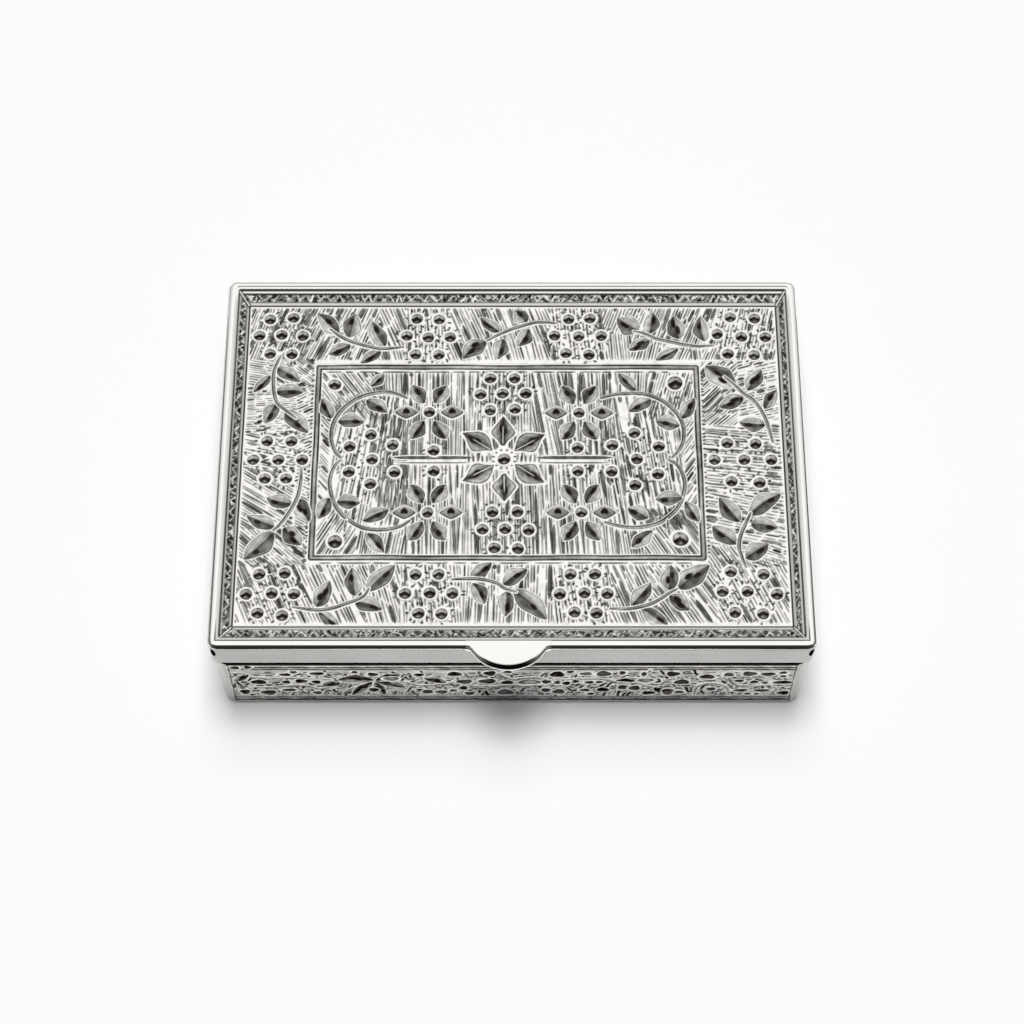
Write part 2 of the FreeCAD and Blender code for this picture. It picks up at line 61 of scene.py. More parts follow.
# The tone of a plate's walls and back
UNSEEN_TONE = 0.6

# Fineness of the plates
LID_STEP = 0.2
WALL_STEP = 0.25

HALO_WIDTH = 0.45
HALO_HEIGHT = 0.05
EDGE_SOFTNESS = 0.12
LEAF_FULLNESS = 1.14
# The streaks along a stalk, from its right edge (-1) to its left (1): middle, half width with and without its
# soft sides, strength and tone. The pale streak is a painted highlight, and the darker side painted shade
STEM_STREAKS = ((0.30, 0.25, 0.05, 0.7, 0.80), (-0.85, 0.55, 0.12, 1.0, 0.14), (0.98, 0.40, 0.10, 1.0, 0.34))

# The grooves of the ground: how close and long they are beside the listed pitch and length, how deep they
# are, the shortest row and groove, and the area in square millimetres that has one dark patch
HATCH_CLOSENESS = 0.73
HATCH_LENGTH = 1.5
HATCH_DEPTH = 0.1
LEAST_ROW = 0.7
LEAST_GROOVE = 0.5
PATCH_AREA = 110.0
# Their kinds, from fine and grey to broad and dark
GROOVE_SHARES = (0.62, 0.28, 0.10)
GROOVE_WIDTHS = (0.72, 1.0, 1.9)
GROOVE_TONES = (0.52, 0.36, 0.20)

# The unevenness of hand work, from fine to coarse: how often it is smoothed, and how strong it is
GRAINS = ((1, 0.5), (6, 1.0), (40, 1.6))
GRAIN_HEIGHT = 0.004


# Drawing on plates


def ease(start, end, value):
    """Goes smoothly from 0 to 1 as the value goes from start to end."""
    share = np.clip((value - start) / (end - start), 0.0, 1.0)
    return share * share * (3.0 - 2.0 * share)


def blend(first, second, share):
    return first + (second - first) * share


def filled(outside):
    """1 within an outline and 0 beyond it, with a soft edge. outside is the distance from the outline."""
    return ease(EDGE_SOFTNESS, -EDGE_SOFTNESS, outside)


def line_mask(distance, wide, narrow):
    """1 on a line and 0 away from it. narrow and wide are its half widths without and with its soft
    sides."""
    return ease(wide, narrow, np.abs(distance))


def pointed(share, power, amount):
    """How wide a stroke is along its way, beside its middle: less by the amount at both ends."""
    return 1 - amount * np.abs(2 * share - 1) ** power


class Plate:
    """Heights and tones over a rectangle, in millimetres."""

    def __init__(self, left, right, low, high, step):
        self.left = left
        self.low = low
        self.step = step
        self.columns = round((right - left) / step)
        self.rows = round((high - low) / step)
        self.x = np.linspace(left, right, self.columns + 1)
        self.y = np.linspace(low, high, self.rows + 1)
        shape = (self.rows + 1, self.columns + 1)
        self.height = np.zeros(shape)
        self.tone = np.full(shape, GROUND_TONE)

    def window(self, points, margin):
        """The part of the plate round some points, and its x and y."""
        xs = [point[0] for point in points]
        ys = [point[1] for point in points]
        first_column = max(0, int((min(xs) - margin - self.left) / self.step))
        last_column = min(self.columns, int((max(xs) + margin - self.left) / self.step) + 1)
        first_row = max(0, int((min(ys) - margin - self.low) / self.step))
        last_row = min(self.rows, int((max(ys) + margin - self.low) / self.step) + 1)
        part = (slice(first_row, last_row + 1), slice(first_column, last_column + 1))
        return part, self.x[None, part[1]], self.y[part[0], None]

    def leans(self):
        """The x and y of the face's normal, if its z is 1."""
        lean_y, lean_x = np.gradient(self.height, self.step)
        return -lean_x, -lean_y

    def lay(self, part, mask, height, tone):
        """Covers the part with a height and a tone where the mask is 1."""
        self.height[part] += mask * (height - self.height[part])
        self.tone[part] += mask * (tone - self.tone[part])


def curve_through(points, pieces=5):
    """A smooth path through the points."""
    if len(points) < 3:
        return list(points)
    places = [np.array(point, float) for point in points]
    places = [2 * places[0] - places[1], *places, 2 * places[-1] - places[-2]]
    path = []
    for before, start, end, after in zip(places, places[1:], places[2:], places[3:]):
        for count in range(pieces):
            t = count / pieces
            bend = 2 * before - 5 * start + 4 * end - after
            turn = -before + 3 * start - 3 * end + after
            path.append(0.5 * (2 * start + (end - before) * t + bend * t**2 + turn * t**3))
    path.append(places[-2])
    return path


def from_path(x, y, path):
    """For each place: the distance from the path, the side (1 is left), and the share of its length."""
    lengths = [math.dist(start, end) for start, end in zip(path, path[1:])]
    total = sum(lengths)
    gap = np.inf
    side = share = 0.0
    done = 0.0
    for (x0, y0), (x1, y1), length in zip(path, path[1:], lengths):
        dx = (x1 - x0) / length
        dy = (y1 - y0) / length
        along = np.clip((x - x0) * dx + (y - y0) * dy, 0.0, length)
        off_x = x - x0 - along * dx
        off_y = y - y0 - along * dy
        this_gap = np.hypot(off_x, off_y)
        nearer = this_gap < gap
        gap = np.where(nearer, this_gap, gap)
        side = np.where(nearer, np.where(dx * off_y - dy * off_x >= 0, 1.0, -1.0), side)
        share = np.where(nearer, (done + along) / total, share)
        done += length
    return gap, side, share


def along_and_across(x, y, base, tip):
    """For each place: the share of the way from base to tip, the distance to the left of the way; and the
    length of the way."""
    length = math.dist(base, tip)
    dx = (tip[0] - base[0]) / length
    dy = (tip[1] - base[1]) / length
    along = ((x - base[0]) * dx + (y - base[1]) * dy) / length
    across = -(x - base[0]) * dy + (y - base[1]) * dx
    return along, across, length


def outside_petal(off, half, past):
    """The distance from a petal's outline, below 0 within it. off is the distance from its middle line,
    half its half width there, and past how far a place is beyond its ends."""
    return np.where((off < half) & (past == 0), off - half, np.hypot(off - half, past))


def petal_height(across, crease):
    """The height of a leaf or petal: fullest at its middle and lower in its creases. across goes from 0 at
    its middle to 1 at its edge."""
    return 0.16 * (1 - np.clip(np.abs(across), 0, 1) ** 2) - 0.05 - 0.08 * crease


def on_ring(x0, y0, radius_x, radius_y, turn):
    return (x0 + radius_x * math.cos(turn), y0 + radius_y * math.sin(turn))


def cut(plate, start, end, width, depth=0.12, dark=CUT_TONE):
    """A groove with pointed ends. A wide one has a lighter floor."""
    part, x, y = plate.window((start, end), width)
    gap, _, share = from_path(x, y, (start, end))
    half = width / 2 * pointed(share, 5, 0.8)
    floor = dark + max(0.0, min(0.3, (width - 0.5) * 0.9)) * ease(half, 0, gap)
    plate.lay(part, filled(gap - half), -depth, floor)


def halo(plate, part, outside, width=HALO_WIDTH):
    """The bright raised edge round an ornament. outside is the distance from the ornament."""
    plate.lay(part, ease(width, width * 0.6, outside), HALO_HEIGHT, HALO_TONE)


def berry(plate, x0, y0, radius=1.5):
    """A punched dimple in a bright ring, with painted shade and a painted highlight. Its upper half is light,
    down to a black edge with a peak, below which it gets lighter again towards its foot."""
    part, x, y = plate.window([(x0, y0)], radius * 1.7)
    wobble = random.uniform(-1.0, 1.0, 6)
    angle = np.arctan2(y - y0, x - x0)
    uneven = 1 + 0.035 * wobble[0] * np.cos(2 * angle + wobble[1]) + 0.03 * wobble[2] * np.cos(3 * angle)
    reach = np.hypot(x - x0, y - y0) / (radius * uneven)
    up = (y - y0) / radius
    aside = (x - x0) / radius
    plate.lay(part, ease(1.46, 1.36, reach), 0.02, HALO_TONE)
    # A thin line of painted shade on the lower side of the ring
    foot = ease(0.3, 0.9, -np.sin(angle + 0.5 * wobble[4]))
    plate.lay(part, line_mask(reach - 1.38, 0.10, 0.03) * foot * 0.45, 0.0, 0.40)
    # The light upper half and the dark peak below it are painted shade
    upper = 0.66 - 0.10 * aside + 0.05 * np.sin(4 * angle + 3 * wobble[3])
    summit = 0.44 + 0.10 * wobble[5]
    below = summit - (0.62 + 0.12 * wobble[1]) * np.abs(aside - 0.10 * wobble[3]) - up
    thick = 0.60 + 0.16 * wobble[4]
    lower = blend(0.08, 0.46, ease(thick * 0.5, thick + 0.4, below))
    body = blend(upper, lower, ease(-0.07, 0.07, below))
    # A painted highlight near the foot
    pale = np.hypot((aside - 0.15 * wobble[2]) * 1.3, up + 0.52)
    body = blend(body, 0.68 + 0.1 * wobble[0], ease(0.36, 0.10, pale) * (0.7 + 0.3 * wobble[3]))
    body = blend(body, 0.24, ease(0.22, 0.08, np.hypot(aside - 0.1 * wobble[3], (up - 0.84) * 1.4)) * 0.8)
    # Painted shade towards the edge, most on the lower side
    shade = 0.35 + 0.65 * ease(-0.5, 0.6, -np.sin(angle) + 0.35 * np.cos(angle))
    body = blend(body, 0.13, ease(0.74, 0.96, reach) * shade)
    bowl = 0.02 - 0.26 * ease(1.0, 0.0, reach)
    plate.lay(part, ease(1.08, 0.94, reach), bowl, body)


def stem(plate, points, width=0.95, taper=0.5):
    """A raised stalk, dark along both sides and darkest along the right one as painted shade, with a painted
    highlight along it.
    """
    path = curve_through(points)
    part, x, y = plate.window(path, width + HALO_WIDTH)
    gap, side, share = from_path(x, y, path)
    half = width / 2 * pointed(share, 3, taper)
    halo(plate, part, gap - half, 0.42)
    across = side * gap / half
    tone = 0.54 + 0.07 * np.sin(share * 17.0 + points[0][0])
    for centre, wide, narrow, amount, streak in STEM_STREAKS:
        tone = blend(tone, streak, line_mask(across - centre, wide, narrow) * amount)
    plate.lay(part, filled(gap - half), 0.06 + 0.14 * np.clip(1 - across**2, 0, 1), tone)


def leaf(plate, base, tip, width, dark_side=1, fullest=0.45, bend=0.0, spots=1, light=0.0, vein=0.6):
    """A leaf or petal from its stalk to its point: grey and streaked, darker along its vein, with painted
    shade on one side and a painted glint beside the vein, a dark outline, a bright edge round it, and dark
    spots where the punch went deeper."""
    width = width * LEAF_FULLNESS
    part, x, y = plate.window((base, tip), width + HALO_WIDTH)
    t, v, length = along_and_across(x, y, base, tip)
    inside = np.clip(t, 0.0, 1.0)
    v = v - bend * np.sin(math.pi * inside)
    power = math.log(0.5) / math.log(fullest)
    half = width / 2 * np.sin(math.pi * inside**power) ** 0.8 + 0.04
    ripple = random.uniform(7, 11)
    half = half * (1 + 0.09 * np.sin(inside * ripple + random.uniform(0, 6)) * np.where(v > 0, 1.0, -0.8))
    outside = outside_petal(np.abs(v), half, (t - inside) * length)
    halo(plate, part, outside)
    body = filled(outside)
    across = v / np.maximum(half, 0.15)
    side = across * dark_side
    middle = 1 - np.abs(across)
    # One half is lit and the other in painted shade, as facets cut at an angle would show
    pale = BODY_TONE + 0.16 + light + random.uniform(-0.04, 0.04) - 0.14 * middle
    shaded_half_tone = BODY_TONE - 0.14 + light * 0.7 + random.uniform(-0.05, 0.03) - 0.22 * middle
    tone = blend(pale, shaded_half_tone, ease(-0.35, 0.25, side))
    tone = tone + 0.10 * ease(0.62, 0.95, np.abs(across)) - 0.16 * ease(0.30, 0.0, inside)
    streak = random.uniform(0, 6)
    tone = tone + 0.05 * np.sin(across * 9 * (0.4 + inside) + streak) + 0.03 * np.sin(inside * 19 - streak)
    # The dark outline, stronger on the side in painted shade
    line = line_mask(outside + 0.10, 0.20, 0.06)
    tone = blend(tone, 0.20, line * (0.55 + 0.4 * ease(-0.4, 0.5, side)))
    reach = ease(0.92, 0.75, inside)
    crease = line_mask(v, 0.20, 0.06) * reach * vein
    tone = blend(tone, 0.20, crease)
    # A painted highlight beside the vein
    glint = line_mask(v + dark_side * 0.26, 0.17, 0.06) * reach * ease(0.05, 0.25, inside) * vein
    tone = blend(tone, 0.93, glint * 0.7)
    plate.lay(part, body, petal_height(across, crease), tone)
    for count in range(spots):
        far = random.uniform(0.56, 0.70) - 0.24 * count
        aside = dark_side * width * random.uniform(0.05, 0.13) * (1 if count % 2 == 0 else -1.2)
        long = min(0.95, length * 0.15) * random.uniform(0.85, 1.25)
        broad = min(0.52, width * 0.15) * random.uniform(0.85, 1.2)
        reach = np.hypot((t - far) * length / long, (v - aside) / broad)
        plate.lay(part, ease(1.35, 0.75, reach) * body * 0.95, -0.10, BLACK_TONE + 0.02)


def inside_box(start, end, box):
    """The part of the line from start to end that lies in the box, or None."""
    left, right, low, high = box
    first, last = 0.0, 1.0
    run = end - start
    for place, step, least, most in ((start[0], run[0], left, right), (start[1], run[1], low, high)):
        if abs(step) < 1e-9:
            if place < least or place > most:
                return None
            continue
        enter, leave = sorted(((least - place) / step, (most - place) / step))
        first = max(first, enter)
        last = min(last, leave)
    if first >= last:
        return None
    return start + run * first, start + run * last


def groove_row(plate, start, end, length, width, fill, deepening):
    """Grooves of random kinds one after another from start to end."""
    whole = float(np.linalg.norm(end - start))
    if whole < LEAST_ROW:
        return
    way = (end - start) / whole
    done = random.uniform(0, 0.3)
    while done < whole - LEAST_GROOVE:
        this = min(length * HATCH_LENGTH * random.uniform(0.5, 1.4), whole - done)
        kind = random.choice(3, p=GROOVE_SHARES)
        broad = width * GROOVE_WIDTHS[kind] * random.uniform(0.9, 1.1)
        dark = GROOVE_TONES[kind] * random.uniform(0.75, 1.2) - deepening
        if random.uniform() < fill and this > LEAST_GROOVE:
            cut(plate, start + way * done, start + way * (done + this), broad, HATCH_DEPTH, dark)
        done += this + random.uniform(0.25, 0.6)


def dark_patch(plate, box, along, length):
    """A darker patch with pointed ends, at a random place in the box."""
    left, right, low, high = box
    middle = np.array([random.uniform(left, right), random.uniform(low, high)])
    far = along * random.uniform(0.25, 0.6) * length
    ends = inside_box(middle - far, middle + far, box)
    if ends is None:
        return
    part, x, y = plate.window(ends, 1.5)
    gap, _, share = from_path(x, y, ends)
    half = random.uniform(0.4, 0.8) * pointed(share, 3, 0.7)
    plate.tone[part] *= 1 - random.uniform(0.2, 0.35) * ease(0.2, -0.2, gap - half)


def hatch(plate, box, angle, pitch, length, width, fill=0.95):
    """Rows of grooves over a box, at an angle from the x axis in degrees: mostly fine grey ones, and some
    broad dark ones."""
    turn = math.radians(angle)
    along = np.array([math.cos(turn), math.sin(turn)])
    across = np.array([-along[1], along[0]])
    left, right, low, high = box
    middle = np.array([(left + right) / 2, (low + high) / 2])
    reach = math.hypot(right - left, high - low) / 2
    offset = -reach
    phase = random.uniform(0, 6)
    while offset < reach:
        offset += pitch * HATCH_CLOSENESS * random.uniform(0.8, 1.2)
        lean = along + across * random.normal(0, 0.025)
        centre = middle + across * offset
        row = inside_box(centre - lean * reach, centre + lean * reach, box)
        if row is not None:
            groove_row(plate, *row, length, width, fill, 0.10 * math.sin(offset * 1.7 + phase))
    for _ in range(int((right - left) * (high - low) / PATCH_AREA)):
        dark_patch(plate, box, along, length)


def banded_line(plate, points, width=1.1):
    """A grey band between two dark lines, with a bright edge outside each."""
    part, x, y = plate.window(points, width + 1.0)
    gap, side, share = from_path(x, y, points)
    half = width / 2
    wander = 0.06 * np.sin(share * 31.0 + points[0][1]) + 0.05 * np.sin(share * 83.0)
    gap = np.abs(gap * side + wander)
    plate.lay(part, ease(half + 0.70, half + 0.42, gap), HALO_HEIGHT, HALO_TONE)
    plate.lay(part, ease(half + 0.05, half - 0.1, gap), 0.02, 0.66 + 0.08 * np.sin(share * 57.0))
    line = line_mask(gap - half, 0.26, 0.09)
    plate.lay(part, line, -0.1, 0.15 + 0.07 * np.sin(share * 41.0))


def dashes(plate, start, end, width=0.3, dark=0.24):
    """A thin line cut in runs with small gaps."""
    whole = math.dist(start, end)
    way = ((end[0] - start[0]) / whole, (end[1] - start[1]) / whole)
    done = 0.0
    while done < whole - 0.6:
        run = min(random.uniform(1.5, 9.0), whole - done)
        first = (start[0] + way[0] * done, start[1] + way[1] * done)
        last = (start[0] + way[0] * (done + run), start[1] + way[1] * (done + run))
        cut(plate, first, last, width * random.uniform(0.8, 1.2), HATCH_DEPTH, dark)
        done += run + random.uniform(0.2, 1.6)


def softened(field, passes):
    """The field with each value mixed with its neighbours."""
    for _ in range(passes):
        padded = np.pad(field, 1, mode="edge")
        field = (padded[:-2, 1:-1] + padded[2:, 1:-1] + padded[1:-1, :-2] + padded[1:-1, 2:]) / 8 + field / 2
    return field


def weather(plate, amount=0.035):
    """Small unevenness of tone and height, as hand work leaves."""
    for passes, share in GRAINS:
        grain = softened(random.normal(0, 1, plate.tone.shape), passes)
        grain /= grain.std()
        plate.tone += grain * amount * share * 0.5
        plate.height += grain * GRAIN_HEIGHT * share
    plate.tone = np.clip(plate.tone, DARKEST_TONE, 1.0)


# The lid panel's ornament, in millimetres from the middle of the pattern

# The berries of the lid: x and y
BERRIES = [
    # back border, from the left
    (-63.6, 42.5), (-57.5, 43.0), (-66.2, 37.5), (-60.4, 37.7), (-54.8, 37.4), (-63.2, 31.9), (-57.5, 31.8),
    (-25.0, 42.7), (-19.2, 42.5), (-27.6, 37.4), (-22.0, 36.9), (-16.3, 37.0), (-25.2, 31.7), (-19.2, 31.6),
    (14.8, 42.6), (20.4, 42.8), (11.1, 37.5), (17.4, 37.3), (23.3, 37.4), (14.0, 32.1), (20.0, 31.6),
    (57.3, 43.2), (63.7, 42.8), (53.7, 38.0), (60.0, 37.1), (66.3, 37.0), (56.3, 31.9), (63.1, 31.5),
    # left and right borders
    (-62.8, 5.6), (-56.6, 5.5), (-66.1, 0.1), (-59.7, 0.1), (-53.6, 0.1), (-62.9, -5.4), (-57.5, -5.4),
    (55.0, 5.0), (62.3, 4.8), (51.6, 0.1), (59.2, 0.1), (66.1, 0.1), (55.7, -6.2), (62.8, -6.6),
    # front border, from the left
    (-63.1, -32.7), (-56.7, -32.4), (-66.1, -38.3), (-59.7, -38.0), (-54.2, -38.2), (-63.0, -43.5),
    (-56.9, -44.2),
    (-24.1, -32.8), (-18.4, -32.7), (-26.6, -38.1), (-20.5, -37.9), (-14.9, -38.0), (-23.2, -43.6),
    (-17.5, -43.7),
    (14.5, -32.7), (20.6, -32.7), (11.8, -38.2), (17.9, -37.9), (23.6, -38.1), (15.4, -43.2), (20.8, -43.5),
    (54.5, -32.0), (62.6, -32.7), (52.2, -37.5), (58.4, -37.5), (65.7, -38.3), (55.1, -43.3), (62.0, -43.7),
    # above and below the rosette
    (-5.7, 24.4), (0.6, 24.4), (-8.2, 19.6), (-2.5, 19.8), (3.5, 19.8), (-5.7, 14.8), (0.7, 15.2),
    (-5.0, -15.0), (1.3, -15.0), (-7.5, -20.0), (-1.8, -19.9), (4.1, -20.2), (-4.5, -25.3), (1.4, -25.5),
    # beside the bars
    (-20.1, 2.8), (-20.0, -3.2),
    (16.7, 3.6), (16.7, -3.2),
    # inside the scrolls
    (-36.3, 7.5), (-41.6, 4.0), (-30.6, 4.5), (-35.8, 0.2), (-41.6, -3.5), (-36.1, -6.9), (-30.0, -3.5),
    (31.3, 8.0), (25.6, 4.4), (37.5, 4.0), (31.8, 0.3), (25.3, -3.3), (37.1, -4.1), (31.2, -7.3),
]

# Larger berries in the corners of the frame: x, y, radius
CORNER_BERRIES = [(-46.0, 22.5, 1.6), (-44.5, -23.5, 1.8), (42.2, 23.0, 1.95), (42.2, -22.8, 1.95)]

# Grooves of the ground: left, right, low, high, angle, pitch, length, width
GROUND = [
    # back border
    (-68.6, -53.0, 29.8, 46.2, 72, 0.95, 3.2, 0.42),
    (-56.0, -42.0, 30.0, 46.2, 66, 0.95, 4.2, 0.42),
    (-42.0, -35.0, 29.9, 46.2, 70, 1.0, 4.0, 0.42),
    (-35.0, -28.0, 33.9, 46.2, 112, 1.1, 7.5, 0.46),
    (-35.0, -28.0, 29.9, 33.3, 104, 1.1, 3.2, 0.46),
    (-28.0, -17.0, 29.9, 46.2, 93, 1.15, 3.0, 0.40),
    (-17.0, -7.0, 29.9, 46.2, 111, 1.15, 7.5, 0.48),
    (-7.0, 10.0, 36.0, 46.2, 110, 1.15, 7.0, 0.46),
    (-7.0, 10.0, 29.9, 39.0, 104, 1.1, 6.5, 0.44),
    (10.0, 24.5, 29.9, 46.2, 95, 1.15, 3.0, 0.40),
    (24.5, 31.0, 29.9, 38.5, 94, 1.0, 7.5, 0.46),
    (21.5, 31.0, 38.5, 46.2, 70, 1.05, 6.0, 0.44),
    (31.0, 54.0, 34.5, 46.2, 70, 1.05, 5.5, 0.44),
    (31.0, 40.0, 29.9, 36.0, 76, 1.05, 4.5, 0.44),
    (40.0, 46.5, 29.9, 34.0, 68, 1.0, 3.6, 0.40),
    (46.5, 49.5, 29.9, 33.8, 95, 1.0, 3.6, 0.40),
    (49.5, 54.0, 29.9, 33.8, 66, 1.0, 3.6, 0.40),
    (54.0, 68.6, 29.9, 46.2, 78, 1.2, 2.6, 0.42),
    # inside the frame, from its back to its front
    (-49.4, -34.0, 12.0, 26.2, 125, 1.0, 6.5, 0.42),
    (-36.0, -27.0, 19.0, 26.2, 92, 1.05, 6.0, 0.44),
    (-49.4, -46.8, -12.0, 13.0, 128, 0.95, 2.4, 0.36),
    (-27.0, 5.0, -0.2, 26.2, 90, 0.92, 9.0, 0.44),
    (5.0, 13.5, 1.0, 26.2, 99, 0.95, 10.0, 0.46),
    (13.5, 27.0, 1.0, 26.2, 92, 0.95, 8.0, 0.44),
    (27.0, 35.0, 19.0, 26.2, 88, 1.0, 6.0, 0.44),
    (35.0, 47.2, 12.0, 26.2, 74, 1.05, 6.0, 0.42),
    (44.0, 47.2, -14.0, 12.0, 58, 1.0, 2.8, 0.36),
    (-46.0, -27.0, -19.0, 19.0, 82, 1.1, 5.0, 0.46),
    (-34.5, -26.0, -17.5, 17.5, 90, 1.0, 6.0, 0.44),
    (22.5, 43.5, -19.0, 19.0, 97, 1.1, 5.0, 0.46),
    (-27.0, 13.0, -27.6, -1.2, 91, 0.92, 9.0, 0.44),
    (13.0, 25.5, -27.6, -1.2, 93, 0.95, 7.0, 0.44),
    (-49.4, -39.0, -27.6, -14.0, 62, 1.0, 6.0, 0.42),
    (-39.0, -27.0, -27.6, -20.0, 82, 1.0, 6.0, 0.42),
    (25.5, 33.0, -27.6, -20.0, 97, 1.0, 6.0, 0.42),
    (33.0, 47.2, -27.6, -14.0, 121, 1.05, 6.0, 0.42),
    # front border
    (-68.6, -36.0, -46.3, -30.0, 114, 1.05, 5.5, 0.44),
    (-36.0, -28.0, -46.3, -30.0, 106, 1.05, 5.0, 0.42),
    (-28.0, -12.5, -46.3, -30.0, 95, 1.15, 3.0, 0.40),
    (-12.5, 10.0, -46.3, -30.0, 88, 1.0, 6.5, 0.44),
    (10.0, 24.5, -46.3, -30.0, 96, 1.2, 2.8, 0.40),
    (24.5, 34.0, -46.3, -30.0, 112, 1.1, 7.5, 0.48),
    (34.0, 51.0, -46.3, -30.0, 122, 1.1, 6.0, 0.46),
    (51.0, 68.6, -46.3, -28.5, 114, 1.15, 3.6, 0.42),
    # left border
    (-68.6, -62.0, 22.0, 30.5, -10, 0.95, 3.6, 0.36),
    (-62.0, -51.6, 22.0, 30.5, -38, 0.9, 2.0, 0.34),
    (-68.6, -55.0, 8.0, 22.0, 4, 0.8, 1.6, 0.26),
    (-55.5, -51.6, -1.0, 23.0, 28, 1.1, 1.5, 0.42),
    (-68.6, -55.0, -2.5, 8.0, -14, 1.25, 2.4, 0.40),
    (-68.6, -55.5, -20.0, -2.5, -33, 1.05, 5.0, 0.44),
    (-55.0, -51.6, -30.0, -1.0, -30, 1.1, 1.8, 0.42),
    (-68.6, -52.0, -30.5, -19.0, -42, 1.0, 4.5, 0.40),
    # right border
    (49.0, 58.5, 14.0, 29.5, 48, 0.95, 4.0, 0.38),
    (58.5, 68.6, 12.0, 29.5, 14, 1.15, 2.0, 0.42),
    (49.0, 58.0, 10.2, 15.0, 40, 0.95, 4.0, 0.38),
    (49.0, 68.6, -9.6, 10.2, -6, 1.1, 3.2, 0.42),
    (49.0, 68.6, -24.5, -9.6, -12, 1.15, 2.6, 0.44),
    (49.0, 57.0, -30.5, -24.5, 122, 1.0, 3.4, 0.42),
    (57.0, 68.6, -30.5, -24.5, -20, 1.1, 2.4, 0.38),
]

